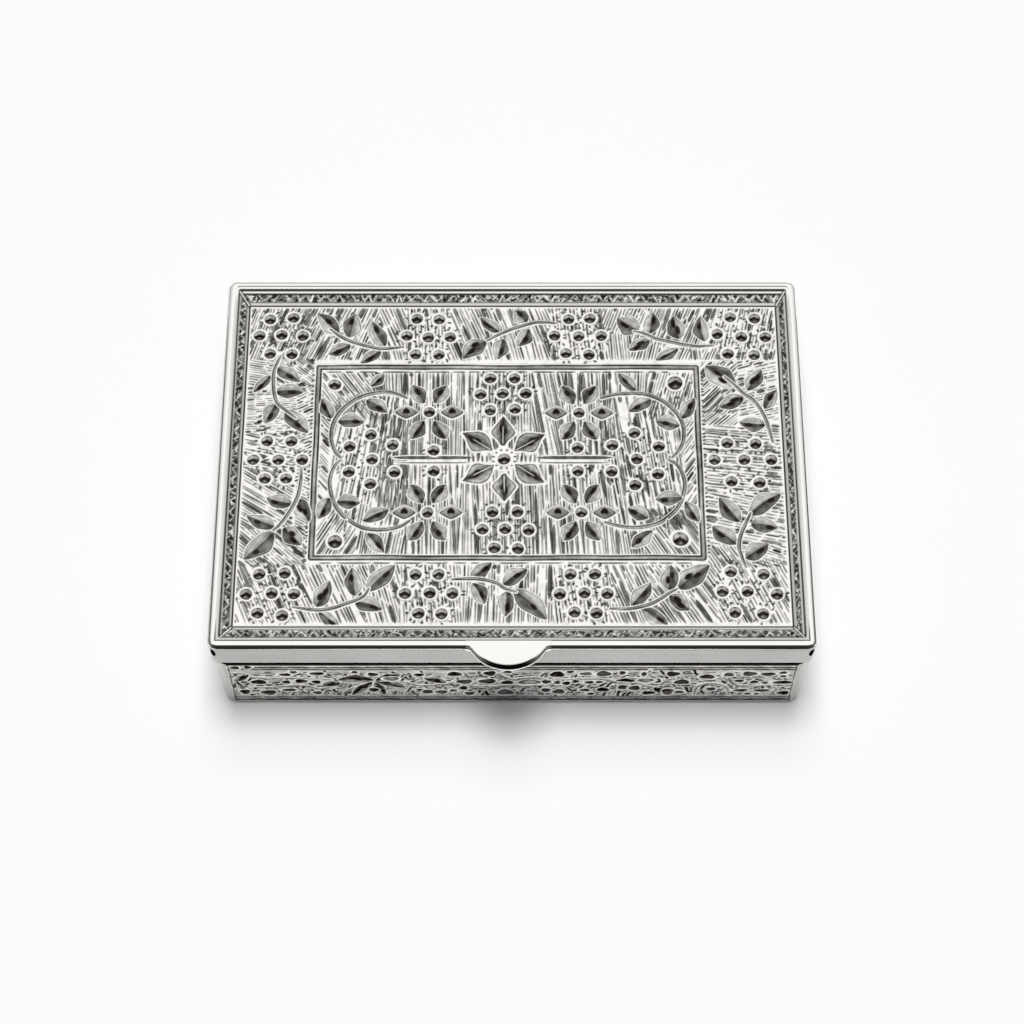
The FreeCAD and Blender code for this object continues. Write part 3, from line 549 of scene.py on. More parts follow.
# Each spray: the points of its stalk, then its leaves: base, tip, width, dark side, bend
SPRAYS = [
    (
        [(-47.7, 39.4), (-45.2, 37.3), (-42.7, 35.9), (-39.3, 34.6), (-36.0, 33.7), (-33.5, 33.4),
         (-28.5, 33.9)],
        [((-45.5, 37.6), (-51.2, 44.3), 3.6, -1, -0.3), ((-42.7, 36.9), (-41.3, 44.2), 4.2, 1, 0.0),
         ((-33.3, 34.2), (-36.8, 41.7), 3.6, -1, 0.4), ((-42.3, 34.6), (-47.9, 31.7), 3.0, 1, 0.0),
         ((-34.3, 33.0), (-39.5, 29.0), 2.6, 1, 0.0)],
    ),
    (
        [(-6.5, 35.9), (-4.0, 37.5), (-0.7, 39.2), (2.7, 40.5), (6.0, 41.5), (8.9, 41.6), (11.4, 41.2)],
        [((-6.9, 35.7), (-12.8, 30.5), 4.2, 1, -0.7), ((-3.4, 38.6), (-8.4, 43.0), 2.8, 1, 0.0),
         ((3.7, 41.5), (0.8, 45.3), 3.5, -1, 0.0), ((4.3, 39.6), (1.6, 34.2), 3.4, 1, 0.3),
         ((-2.5, 36.5), (-3.8, 30.2), 3.6, 1, 0.0)],
    ),
    (
        [(52.6, 34.4), (48.8, 34.1), (45.1, 34.6), (41.3, 35.5), (37.6, 36.5), (34.7, 38.0), (31.8, 38.8)],
        [((33.0, 38.8), (27.6, 42.8), 5.0, 1, 0.0), ((36.1, 38.2), (37.0, 44.6), 3.6, -1, 0.0),
         ((43.6, 36.5), (42.5, 43.6), 4.0, 1, 0.3), ((50.3, 35.7), (49.5, 43.4), 3.4, 1, 0.5),
         ((35.9, 35.9), (30.5, 33.0), 3.0, 1, -0.2), ((43.4, 33.4), (37.4, 30.0), 2.6, 1, 0.0)],
    ),
    (
        [(-60.4, 31.1), (-61.8, 27.3), (-62.0, 24.0), (-61.6, 19.8), (-60.6, 16.9), (-58.5, 14.8),
         (-55.6, 12.3)],
        [((-62.9, 25.2), (-67.0, 20.2), 2.2, 1, 0.0), ((-61.2, 27.5), (-55.0, 23.4), 3.2, -1, 0.2),
         ((-61.2, 20.2), (-54.1, 20.2), 3.6, -1, 0.5), ((-61.0, 16.7), (-63.7, 10.9), 3.4, 1, 0.0),
         ((-58.5, 14.8), (-52.3, 8.0), 3.8, -1, 0.0)],
    ),
    (
        [(-53.7, -2.5), (-53.7, -6.2), (-54.3, -10.4), (-55.6, -13.8), (-57.2, -16.7), (-58.9, -19.2),
         (-60.2, -20.4)],
        [((-60.0, -20.8), (-67.2, -28.5), 4.5, 1, 0.3), ((-55.6, -12.7), (-62.2, -11.0), 3.4, 1, 0.3),
         ((-54.8, -11.2), (-51.2, -17.9), 3.6, 1, 0.0), ((-60.0, -19.4), (-67.0, -16.2), 3.4, 1, 0.0),
         ((-57.5, -19.6), (-52.9, -24.6), 3.8, -1, 0.0)],
    ),
    (
        [(66.7, 5.2), (65.9, 9.0), (65.1, 12.3), (63.6, 15.7), (61.8, 18.2), (59.7, 19.8), (57.6, 22.3),
         (55.1, 24.8)],
        [((58.0, 22.1), (50.1, 28.0), 5.0, -1, 0.0), ((60.9, 20.7), (64.7, 27.1), 3.4, -1, 0.0),
         ((65.1, 15.2), (68.4, 20.9), 2.8, 1, 0.0), ((59.7, 18.8), (53.4, 15.7), 3.6, 1, 0.0),
         ((65.1, 10.5), (58.4, 11.1), 3.6, 1, 0.2)],
    ),
    (
        [(58.3, -30.8), (57.4, -27.9), (56.8, -25.0), (57.4, -21.7), (58.8, -18.3), (60.1, -15.4)],
        [((59.7, -16.0), (68.0, -9.8), 4.2, -1, 0.6), ((57.2, -17.9), (52.4, -11.0), 4.0, 1, 0.0),
         ((60.1, -18.5), (66.8, -19.6), 3.8, -1, 0.3), ((56.3, -24.2), (50.3, -19.2), 4.0, 1, 0.0),
         ((58.4, -28.3), (64.2, -24.2), 4.0, -1, 0.2)],
    ),
    (
        [(-54.3, -41.9), (-51.0, -42.4), (-47.7, -42.7), (-44.3, -42.1), (-41.4, -41.0), (-38.9, -40.0),
         (-36.8, -38.8), (-35.6, -36.7)],
        [((-36.0, -37.5), (-29.3, -30.2), 4.0, -1, 0.3), ((-48.5, -41.7), (-45.4, -34.6), 3.6, -1, 0.0),
         ((-39.1, -38.8), (-40.0, -31.0), 3.6, 1, 0.0), ((-38.9, -40.4), (-32.2, -42.5), 3.6, -1, 0.4),
         ((-48.1, -42.9), (-42.7, -47.3), 2.6, -1, 0.0)],
    ),
    (
        [(-15.0, -34.2), (-10.2, -34.0), (-6.5, -34.4), (-3.6, -35.4), (-1.9, -36.7), (1.0, -37.7)],
        [((0.2, -37.1), (8.5, -45.2), 4.4, -1, 0.5), ((-10.2, -34.0), (-5.2, -29.4), 3.2, -1, 0.0),
         ((-2.3, -35.6), (3.7, -31.2), 3.6, -1, 0.3), ((-9.8, -35.2), (-6.9, -41.0), 3.4, 1, 0.3),
         ((-1.3, -37.5), (-1.7, -44.4), 3.4, 1, 0.0)],
    ),
    (
        [(24.2, -42.3), (28.0, -42.4), (31.3, -41.9), (34.7, -40.8), (37.6, -39.0), (39.0, -37.9),
         (40.9, -36.9)],
        [((41.3, -36.7), (49.2, -30.2), 4.6, -1, 0.3), ((29.5, -41.7), (34.5, -35.2), 3.4, -1, 0.0),
         ((39.0, -37.3), (39.5, -30.2), 3.8, -1, 0.0), ((39.0, -38.5), (43.8, -42.7), 3.6, -1, 0.2),
         ((32.0, -42.1), (38.4, -47.3), 3.4, 1, 0.0)],
    ),
]

# The scrolls inside the frame: points of each stalk
SCROLLS = [
    [(-27.3, 18.4), (-31.4, 20.1), (-34.8, 20.0), (-38.5, 19.0), (-41.4, 17.3), (-43.9, 14.8), (-45.6, 11.9),
     (-46.4, 8.6), (-46.2, 5.3), (-45.2, 2.3), (-43.7, 0.6)],
    [(-43.9, -0.2), (-45.4, -2.1), (-46.3, -5.4), (-46.2, -8.3), (-45.2, -12.1), (-43.3, -15.4),
     (-40.6, -17.9), (-37.7, -19.6), (-34.3, -20.2), (-31.0, -20.0), (-28.1, -19.2), (-26.0, -17.7)],
    [(23.0, 18.4), (26.3, 19.4), (29.7, 19.8), (32.6, 19.8), (35.5, 19.2), (38.4, 17.8), (40.9, 15.7),
     (43.0, 12.8), (44.0, 9.4), (43.8, 5.7), (42.6, 2.8), (40.9, 0.7)],
    [(39.9, 0.0), (41.8, -1.2), (43.2, -3.8), (43.8, -7.1), (43.2, -10.4), (41.8, -13.8), (39.7, -16.2),
     (36.8, -18.3), (33.0, -19.4), (29.7, -19.6), (26.3, -19.0), (23.4, -18.1)],
]
SCROLL_TICKS = [((-41.8, -17.5), (-42.2, -20.8)), ((39.1, -17.5), (39.5, -21.7))]
SCROLL_LEAVES = [
    ((-36.6, 21.9), (-33.3, 25.5), 2.4, -1, 0.0),
    ((-46.6, 12.3), (-49.1, 18.2), 3.0, 1, 0.0),
    ((-37.7, 17.8), (-32.2, 14.2), 3.2, -1, 0.2),
    ((-44.8, 11.5), (-38.1, 11.3), 3.6, -1, 0.3),
    ((-44.3, -12.1), (-38.5, -12.5), 3.6, -1, 0.3),
    ((-37.7, -17.7), (-31.2, -14.4), 3.4, -1, 0.2),
    ((-46.4, -11.0), (-48.9, -17.1), 3.2, 1, 0.0),
    ((-36.4, -21.2), (-32.2, -26.7), 3.2, 1, 0.0),
    ((32.0, 20.7), (27.6, 25.9), 2.8, 1, 0.0),
    ((43.6, 12.3), (47.0, 18.4), 3.0, -1, 0.0),
    ((35.9, 18.0), (29.9, 14.4), 3.2, 1, -0.2),
    ((43.0, 10.0), (37.0, 11.5), 3.6, 1, -0.3),
    ((43.0, -11.0), (36.3, -11.5), 3.6, 1, -0.3),
    ((34.2, -16.9), (29.2, -14.0), 3.4, 1, -0.2),
    ((43.8, -12.1), (47.0, -17.9), 3.0, -1, 0.0),
    ((35.3, -20.4), (29.9, -25.2), 3.0, -1, 0.0),
]

# The rosette in the middle, and the small flowers round it
ROSETTE = (-2.1, 0.3)
# Outlines of its petals: half widths at shares of the way from base to tip
FULL_SIDE = [(0.0, 0.05), (0.2, 1.9), (0.4, 3.0), (0.62, 2.8), (0.82, 1.45), (1.0, 0.05)]
WAVED_SIDE = [(0.0, 0.05), (0.18, 1.0), (0.34, 2.35), (0.48, 2.8), (0.64, 2.05), (0.82, 0.8), (1.0, 0.05)]
POINTED_SIDE = [
    (0.0, 0.45), (0.19, 1.4), (0.33, 2.6), (0.47, 3.0), (0.62, 2.3), (0.77, 1.4), (0.89, 0.75), (1.0, 0.05)
]
# Its petals: base, tip, outline to the left and to the right of the way to the tip, and how light it is
ROSETTE_PETALS = [
    ((-2.4, 4.3), (-2.3, 12.9), POINTED_SIDE, POINTED_SIDE, -0.04),
    ((-5.1, 2.7), (-12.8, 8.0), WAVED_SIDE, FULL_SIDE, -0.02),
    ((0.6, 2.7), (8.3, 7.5), FULL_SIDE, WAVED_SIDE, 0.0),
    ((-2.1, -4.1), (-2.0, -12.0), POINTED_SIDE, POINTED_SIDE, 0.06),
    ((-4.7, -1.5), (-12.7, -6.1), FULL_SIDE, WAVED_SIDE, 0.10),
    ((0.7, -1.2), (8.2, -6.6), WAVED_SIDE, FULL_SIDE, 0.04),
]
ROSETTE_DOTS = 12
FLOWERS = [(-21.4, 14.2), (17.2, 14.0), (-21.4, -15.2), (17.4, -15.2)]
# A flower's petals: how far beside its middle one at the side starts and ends, and its width; and how far
# aside and up a slanted one starts and ends, and its width
FLOWER_SIDE_PETAL = (3.0, 8.8, 3.7)
FLOWER_SLANT_PETAL = (1.3, 2.6, 4.5, 8.0, 3.5)

# The bars at the sides of the rosette: left, right, height, width, tone
BARS = [
    (-30.6, -10.0, 0.75, 0.85, 0.28),
    (-30.0, -10.5, -0.75, 0.30, 0.40),
    (6.0, 25.8, 0.75, 0.85, 0.28),
    (6.6, 25.0, -0.75, 0.30, 0.40),
]

# The frame line round the middle: left, right, low, high. The stubs stand outside its left and right
# edges, and the dashes lie below its high and low ones
FRAME_BOX = (-50.3, 47.8, -28.1, 27.8)
STUBS_OUTSIDE = 1.3
DASHES_BESIDE = 1.45

# How many dark marks are round a berry
BERRY_TICKS = 9

# The border on each side: the way to the middle of the panel; where its inner dark line lies, and where its
# zigzag starts and ends, as distances beyond the flat middle; the tones inside and outside the zigzag; how
# strong the zigzag is; the tone behind it; and how dark its outer edge is
BORDERS = [
    ((1, 0), 0.05, 0.80, 2.45, 0.78, 0.74, 1.0, 0.53, 0.2),
    ((-1, 0), 0.25, 1.10, 2.30, 0.74, 0.80, 0.8, 0.46, 0.2),
    ((0, -1), -1.65, -0.45, 2.2, 0.84, 0.93, 1.0, 0.61, 0.85),
    ((0, 1), -0.30, 0.45, 2.75, 0.92, 0.64, 0.7, 0.72, 0.2),
]
# The tones of the zigzag's wedges and how often each comes, and those of the flecks over it and how many
# there are to a millimetre
WEDGE_TONES = (0.04, 0.10, 0.30)
WEDGE_SHARES = (0.55, 0.25, 0.20)
FLECK_TONES = (0.08, 0.2, 0.5, 0.92, 0.97)
FLECKS_PER_MM = 2.4


def corners_of(box):
    left, right, low, high = box
    return [(left, low), (right, low), (right, high), (left, high), (left, low)]


def bar(plate, left, right, height, width, dark):
    """A dark bar with pointed ends between two bright edges."""
    ends = ((left, height), (right, height))
    part, x, y = plate.window(ends, width + 0.8)
    gap, _, share = from_path(x, y, ends)
    half = width / 2 * pointed(share, 6, 0.9)
    plate.lay(part, ease(0.5, 0.3, gap - half), HALO_HEIGHT, HALO_TONE)
    streaks = 0.16 * ease(half * 0.8, 0, gap) + 0.05 * np.sin(share * 47)
    plate.lay(part, filled(gap - half), -0.1, dark + streaks * (width > 0.5))


def side_petal(plate, base, tip, width):
    """A diamond with hollow sides: a dark outline, and painted shade that makes a black peak in its back half
    and a grey front half.
    """
    middle = ((base[0] + tip[0]) / 2, (base[1] + tip[1]) / 2)
    half_long = abs(tip[0] - base[0]) / 2
    half_high = width / 2
    part, x, y = plate.window((base, tip), width)
    aside = np.abs(x - middle[0]) / half_long
    up = (y - middle[1]) / half_high
    reach = (aside**1.25 + np.abs(up) ** 1.25 - 1) * half_high * 0.8
    plate.lay(part, ease(0.66, 0.48, reach), HALO_HEIGHT, HALO_TONE)
    plate.lay(part, line_mask(reach - 0.34, 0.12, 0.04) * ease(-0.5, 0.1, up) * 0.7, -0.02, 0.42)
    body = blend(0.56, 0.50, ease(0.1, -0.7, up)) + 0.05 * np.sin(x * 6 + y * 4)
    # The black peak is painted shade
    hood = np.hypot(aside * 1.3, up - 0.30 + aside * 0.7)
    body = blend(body, BLACK_TONE, ease(0.52, 0.30, hood))
    body = blend(body, 0.74, line_mask(hood - 0.62, 0.16, 0.04) * ease(0.0, 0.3, up) * 0.6)
    body = blend(body, 0.20, line_mask(reach + 0.1, 0.22, 0.08) * ease(0.4, -0.2, up))
    plate.lay(part, filled(reach), -0.08, body)


def flower(plate, x0, y0):
    """Six petals round a berry: two diamonds at the sides and four slanted ones."""
    near, far, width = FLOWER_SIDE_PETAL
    for side in (-1, 1):
        side_petal(plate, (x0 + side * near, y0), (x0 + side * far, y0), width)
    near_x, near_y, far_x, far_y, width = FLOWER_SLANT_PETAL
    for side in (-1, 1):
        for rise in (-1, 1):
            base = (x0 + side * near_x, y0 + rise * near_y)
            tip = (x0 + side * far_x, y0 + rise * far_y)
            leaf(plate, base, tip, width, side * rise, 0.52, light=-0.04, vein=0.3)
    berry(plate, x0, y0, 1.45)


def rosette_petal(plate, base, tip, left_side, right_side, light):
    """A petal with a pale vein, a painted highlight; dark hollows along it; and pale lobes round a darker
    middle, base and tip, as painted shade. The sides are its outlines to the left and right of the way from
    base to tip."""
    part, x, y = plate.window((base, tip), 4.2)
    t, v, length = along_and_across(x, y, base, tip)
    inside = np.clip(t, 0.0, 1.0)
    halves = []
    for side in (left_side, right_side):
        path = curve_through(side, 4)
        halves.append(np.interp(inside, [place[0] for place in path], [place[1] for place in path]))
    half = np.where(v > 0, *halves)
    off = np.abs(v)
    outside = outside_petal(off, half, (t - inside) * length)
    halo(plate, part, outside, 0.85)
    across = off / np.maximum(half, 0.2)
    # Painted shade down the middle of the petal, and paler lobes towards its edges
    hollow = ease(1.25, 0.15, off) * ease(0.25, 0.45, t) * ease(0.98, 0.72, t)
    tone = 0.50 + light + 0.20 * ease(0.35, 0.8, across) - 0.26 * hollow - 0.20 * ease(0.40, 0.02, t)
    mottle = np.sin(v * 5.0 + t * 9.0) * np.sin(v * 2.3 - t * 14.0 + base[0])
    tone = tone - 0.12 * ease(0.75, 1.0, t) + 0.07 * mottle
    tone = blend(tone, 0.24, line_mask(outside + 0.13, 0.26, 0.08) * 0.8)
    beside = line_mask(off - 0.36, 0.22, 0.06) * ease(0.08, 0.3, t) * ease(0.9, 0.7, t)
    tone = blend(tone, 0.12, beside * 0.8)
    tone = blend(tone, 0.14, ease(0.26, 0.08, off) * ease(0.66, 0.78, t) * ease(0.97, 0.88, t) * 0.9)
    for aside, far, long in ((0.55, 0.60, 1.1), (-0.62, 0.50, 0.8)):
        reach = np.hypot((t - far) * length / long, (v - aside) / 0.42)
        tone = blend(tone, 0.10, ease(1.3, 0.6, reach) * 0.85)
    # The pale vein is a painted highlight
    tone = blend(tone, 0.96, ease(0.19, 0.06, off) * ease(0.0, 0.1, t) * ease(0.70, 0.58, t))
    plate.lay(part, filled(outside), petal_height(across, beside), tone)


def rosette(plate):
    """Six petals round a ringed berry, with pads of bare ground between them."""
    x0, y0 = ROSETTE
    for side in (-1, 1):
        for run in np.arange(3.2, 9.5, 1.15):
            start = (x0 + side * run, y0 - 0.75)
            cut(plate, start, (start[0] + 0.1 * side, y0 + 1.1), 0.45, HATCH_DEPTH, random.uniform(0.25, 0.5))
    part, x, y = plate.window([ROSETTE], 4.0)
    pad = np.hypot((x - x0) / 3.3, (y - y0) / 3.9)
    plate.lay(part, ease(1.06, 0.9, pad), HALO_HEIGHT, HALO_TONE)
    for petal in ROSETTE_PETALS:
        rosette_petal(plate, *petal)
    for count in range(ROSETTE_DOTS):
        turn = 2 * math.pi * (count + 0.5) / ROSETTE_DOTS
        cut(plate, on_ring(x0, y0, 2.5, 2.4, turn), on_ring(x0, y0, 3.1, 3.0, turn), 0.4, 0.08, 0.3)
    berry(plate, x0, y0, 1.6)


def ticks_round(plate, x0, y0):
    """Short dark marks in the ground round a berry."""
    for count in range(BERRY_TICKS):
        turn = 2 * math.pi * (count + random.uniform(0, 0.8)) / BERRY_TICKS
        near = random.uniform(2.2, 2.5)
        far = near + random.uniform(0.5, 1.1)
        start = on_ring(x0, y0, near, near, turn)
        end = on_ring(x0, y0, far, far, turn + random.uniform(-0.2, 0.2))
        cut(plate, start, end, random.uniform(0.3, 0.6), HATCH_DEPTH, random.uniform(0.15, 0.5))


def stubs_along(plate, start, end, lean, spacing=1.15, length=0.9):
    """Short marks side by side along a line, each at an angle from the x axis in degrees."""
    whole = math.dist(start, end)
    way = np.array([(end[0] - start[0]) / whole, (end[1] - start[1]) / whole])
    turn = math.radians(lean)
    mark = np.array([math.cos(turn), math.sin(turn)])
    done = 0.5
    while done < whole - 0.5:
        middle = np.array(start) + way * done
        half = mark * length * random.uniform(0.3, 0.6)
        cut(plate, middle - half, middle + half, 0.4, HATCH_DEPTH, 0.2)
        done += spacing * random.uniform(0.7, 1.5)


def zigzag(plate, start, along, inward, length, low, high, contrast):
    """An uneven bright zigzag with dark wedges in it, along a strip of the border. low and high are the
    strip's edges, measured inwards from the line through start."""
    start = np.array(start, float)
    along = np.array(along, float)
    inward = np.array(inward, float)
    band = high - low

    def place(run, rise):
        return start + along * run + inward * (low + band * rise)

    run = 0.0
    vertices = []
    while run < length:
        rise = 0.12 if len(vertices) % 2 else 0.88
        vertices.append((run, rise + random.uniform(-0.2, 0.2)))
        run += random.uniform(0.7, 2.2)
    strokes = list(zip(vertices, vertices[1:]))
    for (run, rise), (after, _) in strokes:
        near = 0.32 if rise > 0.5 else 0.68
        lean = random.uniform(-0.3, 0.3)
        half = random.uniform(0.3, 0.5) * (after - run)
        dark = blend(0.42, random.choice(WEDGE_TONES, p=WEDGE_SHARES), contrast)
        first, last = place(run - half, near - lean), place(run + half, near + lean)
        cut(plate, first, last, random.uniform(0.5, 0.9), 0.12, dark)
    for (run, rise), (after, next_rise) in strokes:
        middle_run = (run + after) / 2 + random.uniform(-0.25, 0.25)
        middle_rise = (rise + next_rise) / 2 + random.uniform(-0.15, 0.15)
        path = curve_through([place(run, rise), place(middle_run, middle_rise), place(after, next_rise)], 3)
        part, x, y = plate.window(path, 0.6)
        gap, _, _ = from_path(x, y, path)
        bright = blend(0.66, random.uniform(0.78, 0.99), contrast)
        plate.lay(part, ease(0.31, 0.16, gap) * 0.97, 0.04, bright)
        shift = random.choice([-0.32, 0.32])
        dark = blend(0.5, random.uniform(0.08, 0.4), contrast)
        cut(plate, place(run + shift, rise), place(after + shift, next_rise), 0.28, 0.08, dark)
    for _ in range(int(length * FLECKS_PER_MM)):
        run = random.uniform(0, length)
        rise = random.uniform(0.05, 0.95)
        end = place(run + random.uniform(-1.0, 1.0), rise + random.uniform(-0.3, 0.3))
        cut(plate, place(run, rise), end, 0.34, 0.05, random.choice(FLECK_TONES))


def border_side(plate, half, other, border_width, middle_y, side, past):
    """The tone and height of the border on one side, over the whole plate. half is how far the side is from
    the middle, other half its length, and past the distance beyond its inner dark line."""
    inward, line, first, last, inside, outside, contrast, ground, edge = side
    in_x, in_y = inward
    layer = Plate(plate.x[0], plate.x[-1], plate.y[0], plate.y[-1], plate.step)
    layer.tone[:] = ground
    along = (in_y, in_x) if in_x else (1, 0)
    start = (-in_x * half - abs(in_y) * other, middle_y - in_y * half - in_x * other)
    zigzag(layer, start, along, inward, 2 * other, border_width - last, border_width - first, contrast)
    weather(layer, 0.06)
    width = border_width - line
    first -= line
    last -= line
    tone = blend(inside + 0.05 * np.sin(past * 11.0), layer.tone, ease(first - 0.1, first + 0.1, past))
    tone = blend(tone, outside, ease(last - 0.1, last + 0.1, past))
    height = layer.height * ease(first, first + 0.1, past) * ease(last, last - 0.1, past)
    tone = blend(tone, 0.30, line_mask(past - first, 0.2, 0.08) * 0.6)
    tone = blend(tone, 0.14, line_mask(past, 0.26, 0.10))
    tone = blend(tone, 0.14, line_mask(past - last + 0.25, 0.35, 0.15) * edge)
    tone = blend(tone, 0.18, ease(width - 0.22, width - 0.05, past))
    return tone, height


def draw_border(plate, half_x, half_y, border_width, middle_y):
    """The border round the panel: a dark line, a plain strip, a zigzag and a plain edge on each side,
    with mitred corners."""
    x = plate.x[None, :]
    y = plate.y[:, None] - middle_y
    reaches = []
    for (in_x, in_y), line, *_ in BORDERS:
        half = half_x if in_x else half_y
        beyond = -(x * in_x + y * in_y) - (half - border_width)
        reaches.append((beyond - line) / (border_width - line) + 0 * x + 0 * y)
    reaches = np.stack(reaches)
    winner = reaches.argmax(axis=0)
    ranked = np.sort(reaches, axis=0)
    mitre = (ranked[-1] - ranked[-2]) * border_width
    for number, side in enumerate(BORDERS):
        (in_x, _), line, *_ = side
        half, other = (half_x, half_y) if in_x else (half_y, half_x)
        past = reaches[number] * (border_width - line)
        tone, height = border_side(plate, half, other, border_width, middle_y, side, past)
        ridge = (winner == number) * ease(-0.75, -0.5, past)
        mask = (winner == number) * ease(-0.30, -0.16, past)
        plate.tone = blend(blend(plate.tone, HALO_TONE, ridge), tone, mask)
        plate.height = blend(blend(plate.height, HALO_HEIGHT, ridge), height, mask)
    corner = ease(0.0, 0.1, ranked[-1])
    plate.tone = blend(plate.tone, 0.92, ease(0.36, 0.18, mitre) * corner)
    plate.tone = blend(plate.tone, 0.16, line_mask(mitre - 0.42, 0.2, 0.08) * corner)


def draw_panel(plate, half_x, half_y, border_width, middle_y, rise):
    """All the chasing of the lid panel. Heights are above the flat middle."""
    for left, right, low, high, *grooves in GROUND:
        hatch(plate, (left, right, low, high), *grooves)
    left, right, low, high = FRAME_BOX
    for x0, lean in ((left - STUBS_OUTSIDE, 20), (right + STUBS_OUTSIDE, 10)):
        stubs_along(plate, (x0, low + 1), (x0, high - 1), lean)
    for x0, y0 in BERRIES:
        ticks_round(plate, x0, y0)
    banded_line(plate, corners_of(FRAME_BOX))
    for height, short in ((high - DASHES_BESIDE, 6.0), (low - DASHES_BESIDE, 3.0)):
        dashes(plate, (left + 2.0, height), (right - short, height))
    for line in SCROLLS:
        stem(plate, line, 1.0, 0.35)
    for line in SCROLL_TICKS:
        stem(plate, line, 0.6)
    for sizes in BARS:
        bar(plate, *sizes)
    for points, leaves in SPRAYS:
        stem(plate, points, 1.0)
        for base, tip, width, dark_side, bend in leaves:
            fullest = random.uniform(0.40, 0.50)
            leaf(plate, base, tip, width, dark_side, fullest, bend, random.choice([1, 1, 2]))
        stem(plate, points, 0.85)
    for base, tip, width, dark_side, bend in SCROLL_LEAVES:
        leaf(plate, base, tip, width, dark_side, random.uniform(0.44, 0.54), bend)
    for x0, y0 in FLOWERS:
        flower(plate, x0, y0)
    rosette(plate)
    for x0, y0 in BERRIES:
        berry(plate, x0, y0)
    for x0, y0, radius in CORNER_BERRIES:
        berry(plate, x0, y0, radius)
    weather(plate)
    draw_border(plate, half_x, half_y, border_width, middle_y)
    beyond_x = np.abs(plate.x[None, :]) - (half_x - border_width)
    beyond_y = np.abs(plate.y[:, None] - middle_y) - (half_y - border_width)
    beyond = np.maximum(beyond_x, beyond_y)
    plate.height = plate.height * ease(border_width, border_width - 0.3, beyond)
    plate.height += rise * np.clip(beyond / border_width, 0, 1)
    plate.tone = np.clip(plate.tone, DARKEST_TONE, 1.0)


# The chasing of the case walls: along the wall, up the wall

# Rings and blots as read on the front: along, up, half length, half height, tone
WALL_BLOTS = [
    (-69.2, 22.0, 0.9, 0.7, 0.2), (-66.0, 22.2, 0.7, 0.7, 0.24), (-57.0, 17.6, 1.1, 0.7, 0.22),
    (-54.8, 19.2, 0.7, 0.6, 0.15), (-49.0, 18.2, 1.4, 0.8, 0.2), (-39.5, 19.2, 0.6, 0.6, 0.2),
    (-64.0, 12.9, 1.5, 1.1, 0.25), (-57.0, 12.8, 0.8, 0.8, 0.15), (-53.3, 13.4, 1.2, 0.9, 0.12),
    (-49.5, 12.9, 0.9, 0.9, 0.15), (-35.0, 17.8, 1.0, 0.9, 0.2), (-68.0, 6.6, 1.0, 1.2, 0.2),
    (-62.0, 6.0, 1.5, 1.2, 0.35), (-56.5, 7.7, 1.3, 0.7, 0.2), (-49.6, 5.9, 0.9, 0.8, 0.25),
    (-35.2, 7.8, 1.0, 1.0, 0.22), (-30.4, 15.0, 1.5, 1.0, 0.45), (-23.4, 17.5, 0.9, 0.8, 0.15),
    (-14.5, 18.0, 1.4, 1.1, 0.22), (-12.0, 13.1, 1.5, 1.1, 0.22), (-6.2, 13.3, 1.7, 1.2, 0.25),
    (-5.6, 18.4, 1.1, 1.2, 0.2), (-1.2, 19.3, 0.8, 0.6, 0.15), (-1.3, 12.6, 1.2, 1.0, 0.2),
    (4.3, 12.8, 2.3, 1.1, 0.55), (11.3, 17.8, 1.4, 1.4, 0.18), (14.5, 19.4, 0.7, 0.6, 0.2),
    (18.6, 18.2, 1.2, 0.8, 0.25), (22.9, 18.2, 1.4, 1.3, 0.3), (8.6, 13.0, 0.9, 0.9, 0.25),
    (11.5, 12.5, 0.7, 0.9, 0.2), (13.6, 12.1, 0.8, 0.9, 0.15), (16.0, 13.2, 0.7, 0.7, 0.2),
    (19.5, 12.7, 0.9, 0.7, 0.2), (21.9, 12.8, 0.7, 0.6, 0.2), (-21.3, 6.6, 1.3, 1.0, 0.35),
    (-18.0, 6.4, 1.2, 0.9, 0.4), (-15.0, 7.3, 0.7, 0.6, 0.2), (-12.4, 9.0, 0.8, 1.0, 0.22),
    (-10.9, 5.4, 1.0, 0.9, 0.3), (-1.8, 6.2, 1.6, 1.4, 0.4), (8.5, 7.6, 0.9, 1.0, 0.25),
    (11.8, 6.6, 1.2, 1.2, 0.3), (18.5, 7.6, 1.0, 0.7, 0.2), (23.0, 7.9, 1.2, 1.0, 0.2),
    (20.0, 5.2, 0.7, 0.6, 0.15), (40.3, 18.1, 1.3, 1.2, 0.2), (42.8, 12.9, 1.5, 1.2, 0.3),
    (36.5, 13.6, 0.8, 1.1, 0.2), (49.0, 16.3, 1.5, 1.1, 0.3), (54.3, 17.6, 1.0, 1.0, 0.3),
    (59.5, 18.2, 1.4, 1.1, 0.35), (64.2, 17.9, 1.4, 0.9, 0.25), (67.9, 18.9, 0.7, 0.6, 0.15),
    (68.1, 16.6, 0.6, 0.5, 0.15), (57.3, 13.6, 0.9, 0.7, 0.15), (61.0, 12.9, 0.8, 0.7, 0.2),
    (63.9, 12.4, 0.7, 0.6, 0.25), (68.4, 12.7, 1.9, 0.8, 0.2), (28.2, 9.4, 1.2, 1.1, 0.22),
    (31.0, 9.0, 1.1, 1.2, 0.22), (34.6, 5.8, 1.3, 0.9, 0.2), (39.6, 6.6, 1.2, 1.5, 0.35),
    (42.5, 6.3, 0.9, 0.7, 0.25), (50.5, 8.4, 0.9, 0.8, 0.2), (58.0, 7.4, 1.4, 0.6, 0.15),
    (63.6, 7.4, 1.5, 0.6, 0.15), (69.0, 5.9, 1.2, 1.0, 0.2), (60.0, 5.3, 0.6, 0.5, 0.2),
    (62.2, 5.1, 0.5, 0.5, 0.2), (27.6, 18.8, 0.6, 0.9, 0.15), (33.0, 18.0, 0.5, 1.0, 0.25),
    (33.6, 13.9, 1.6, 0.9, 0.5),
]
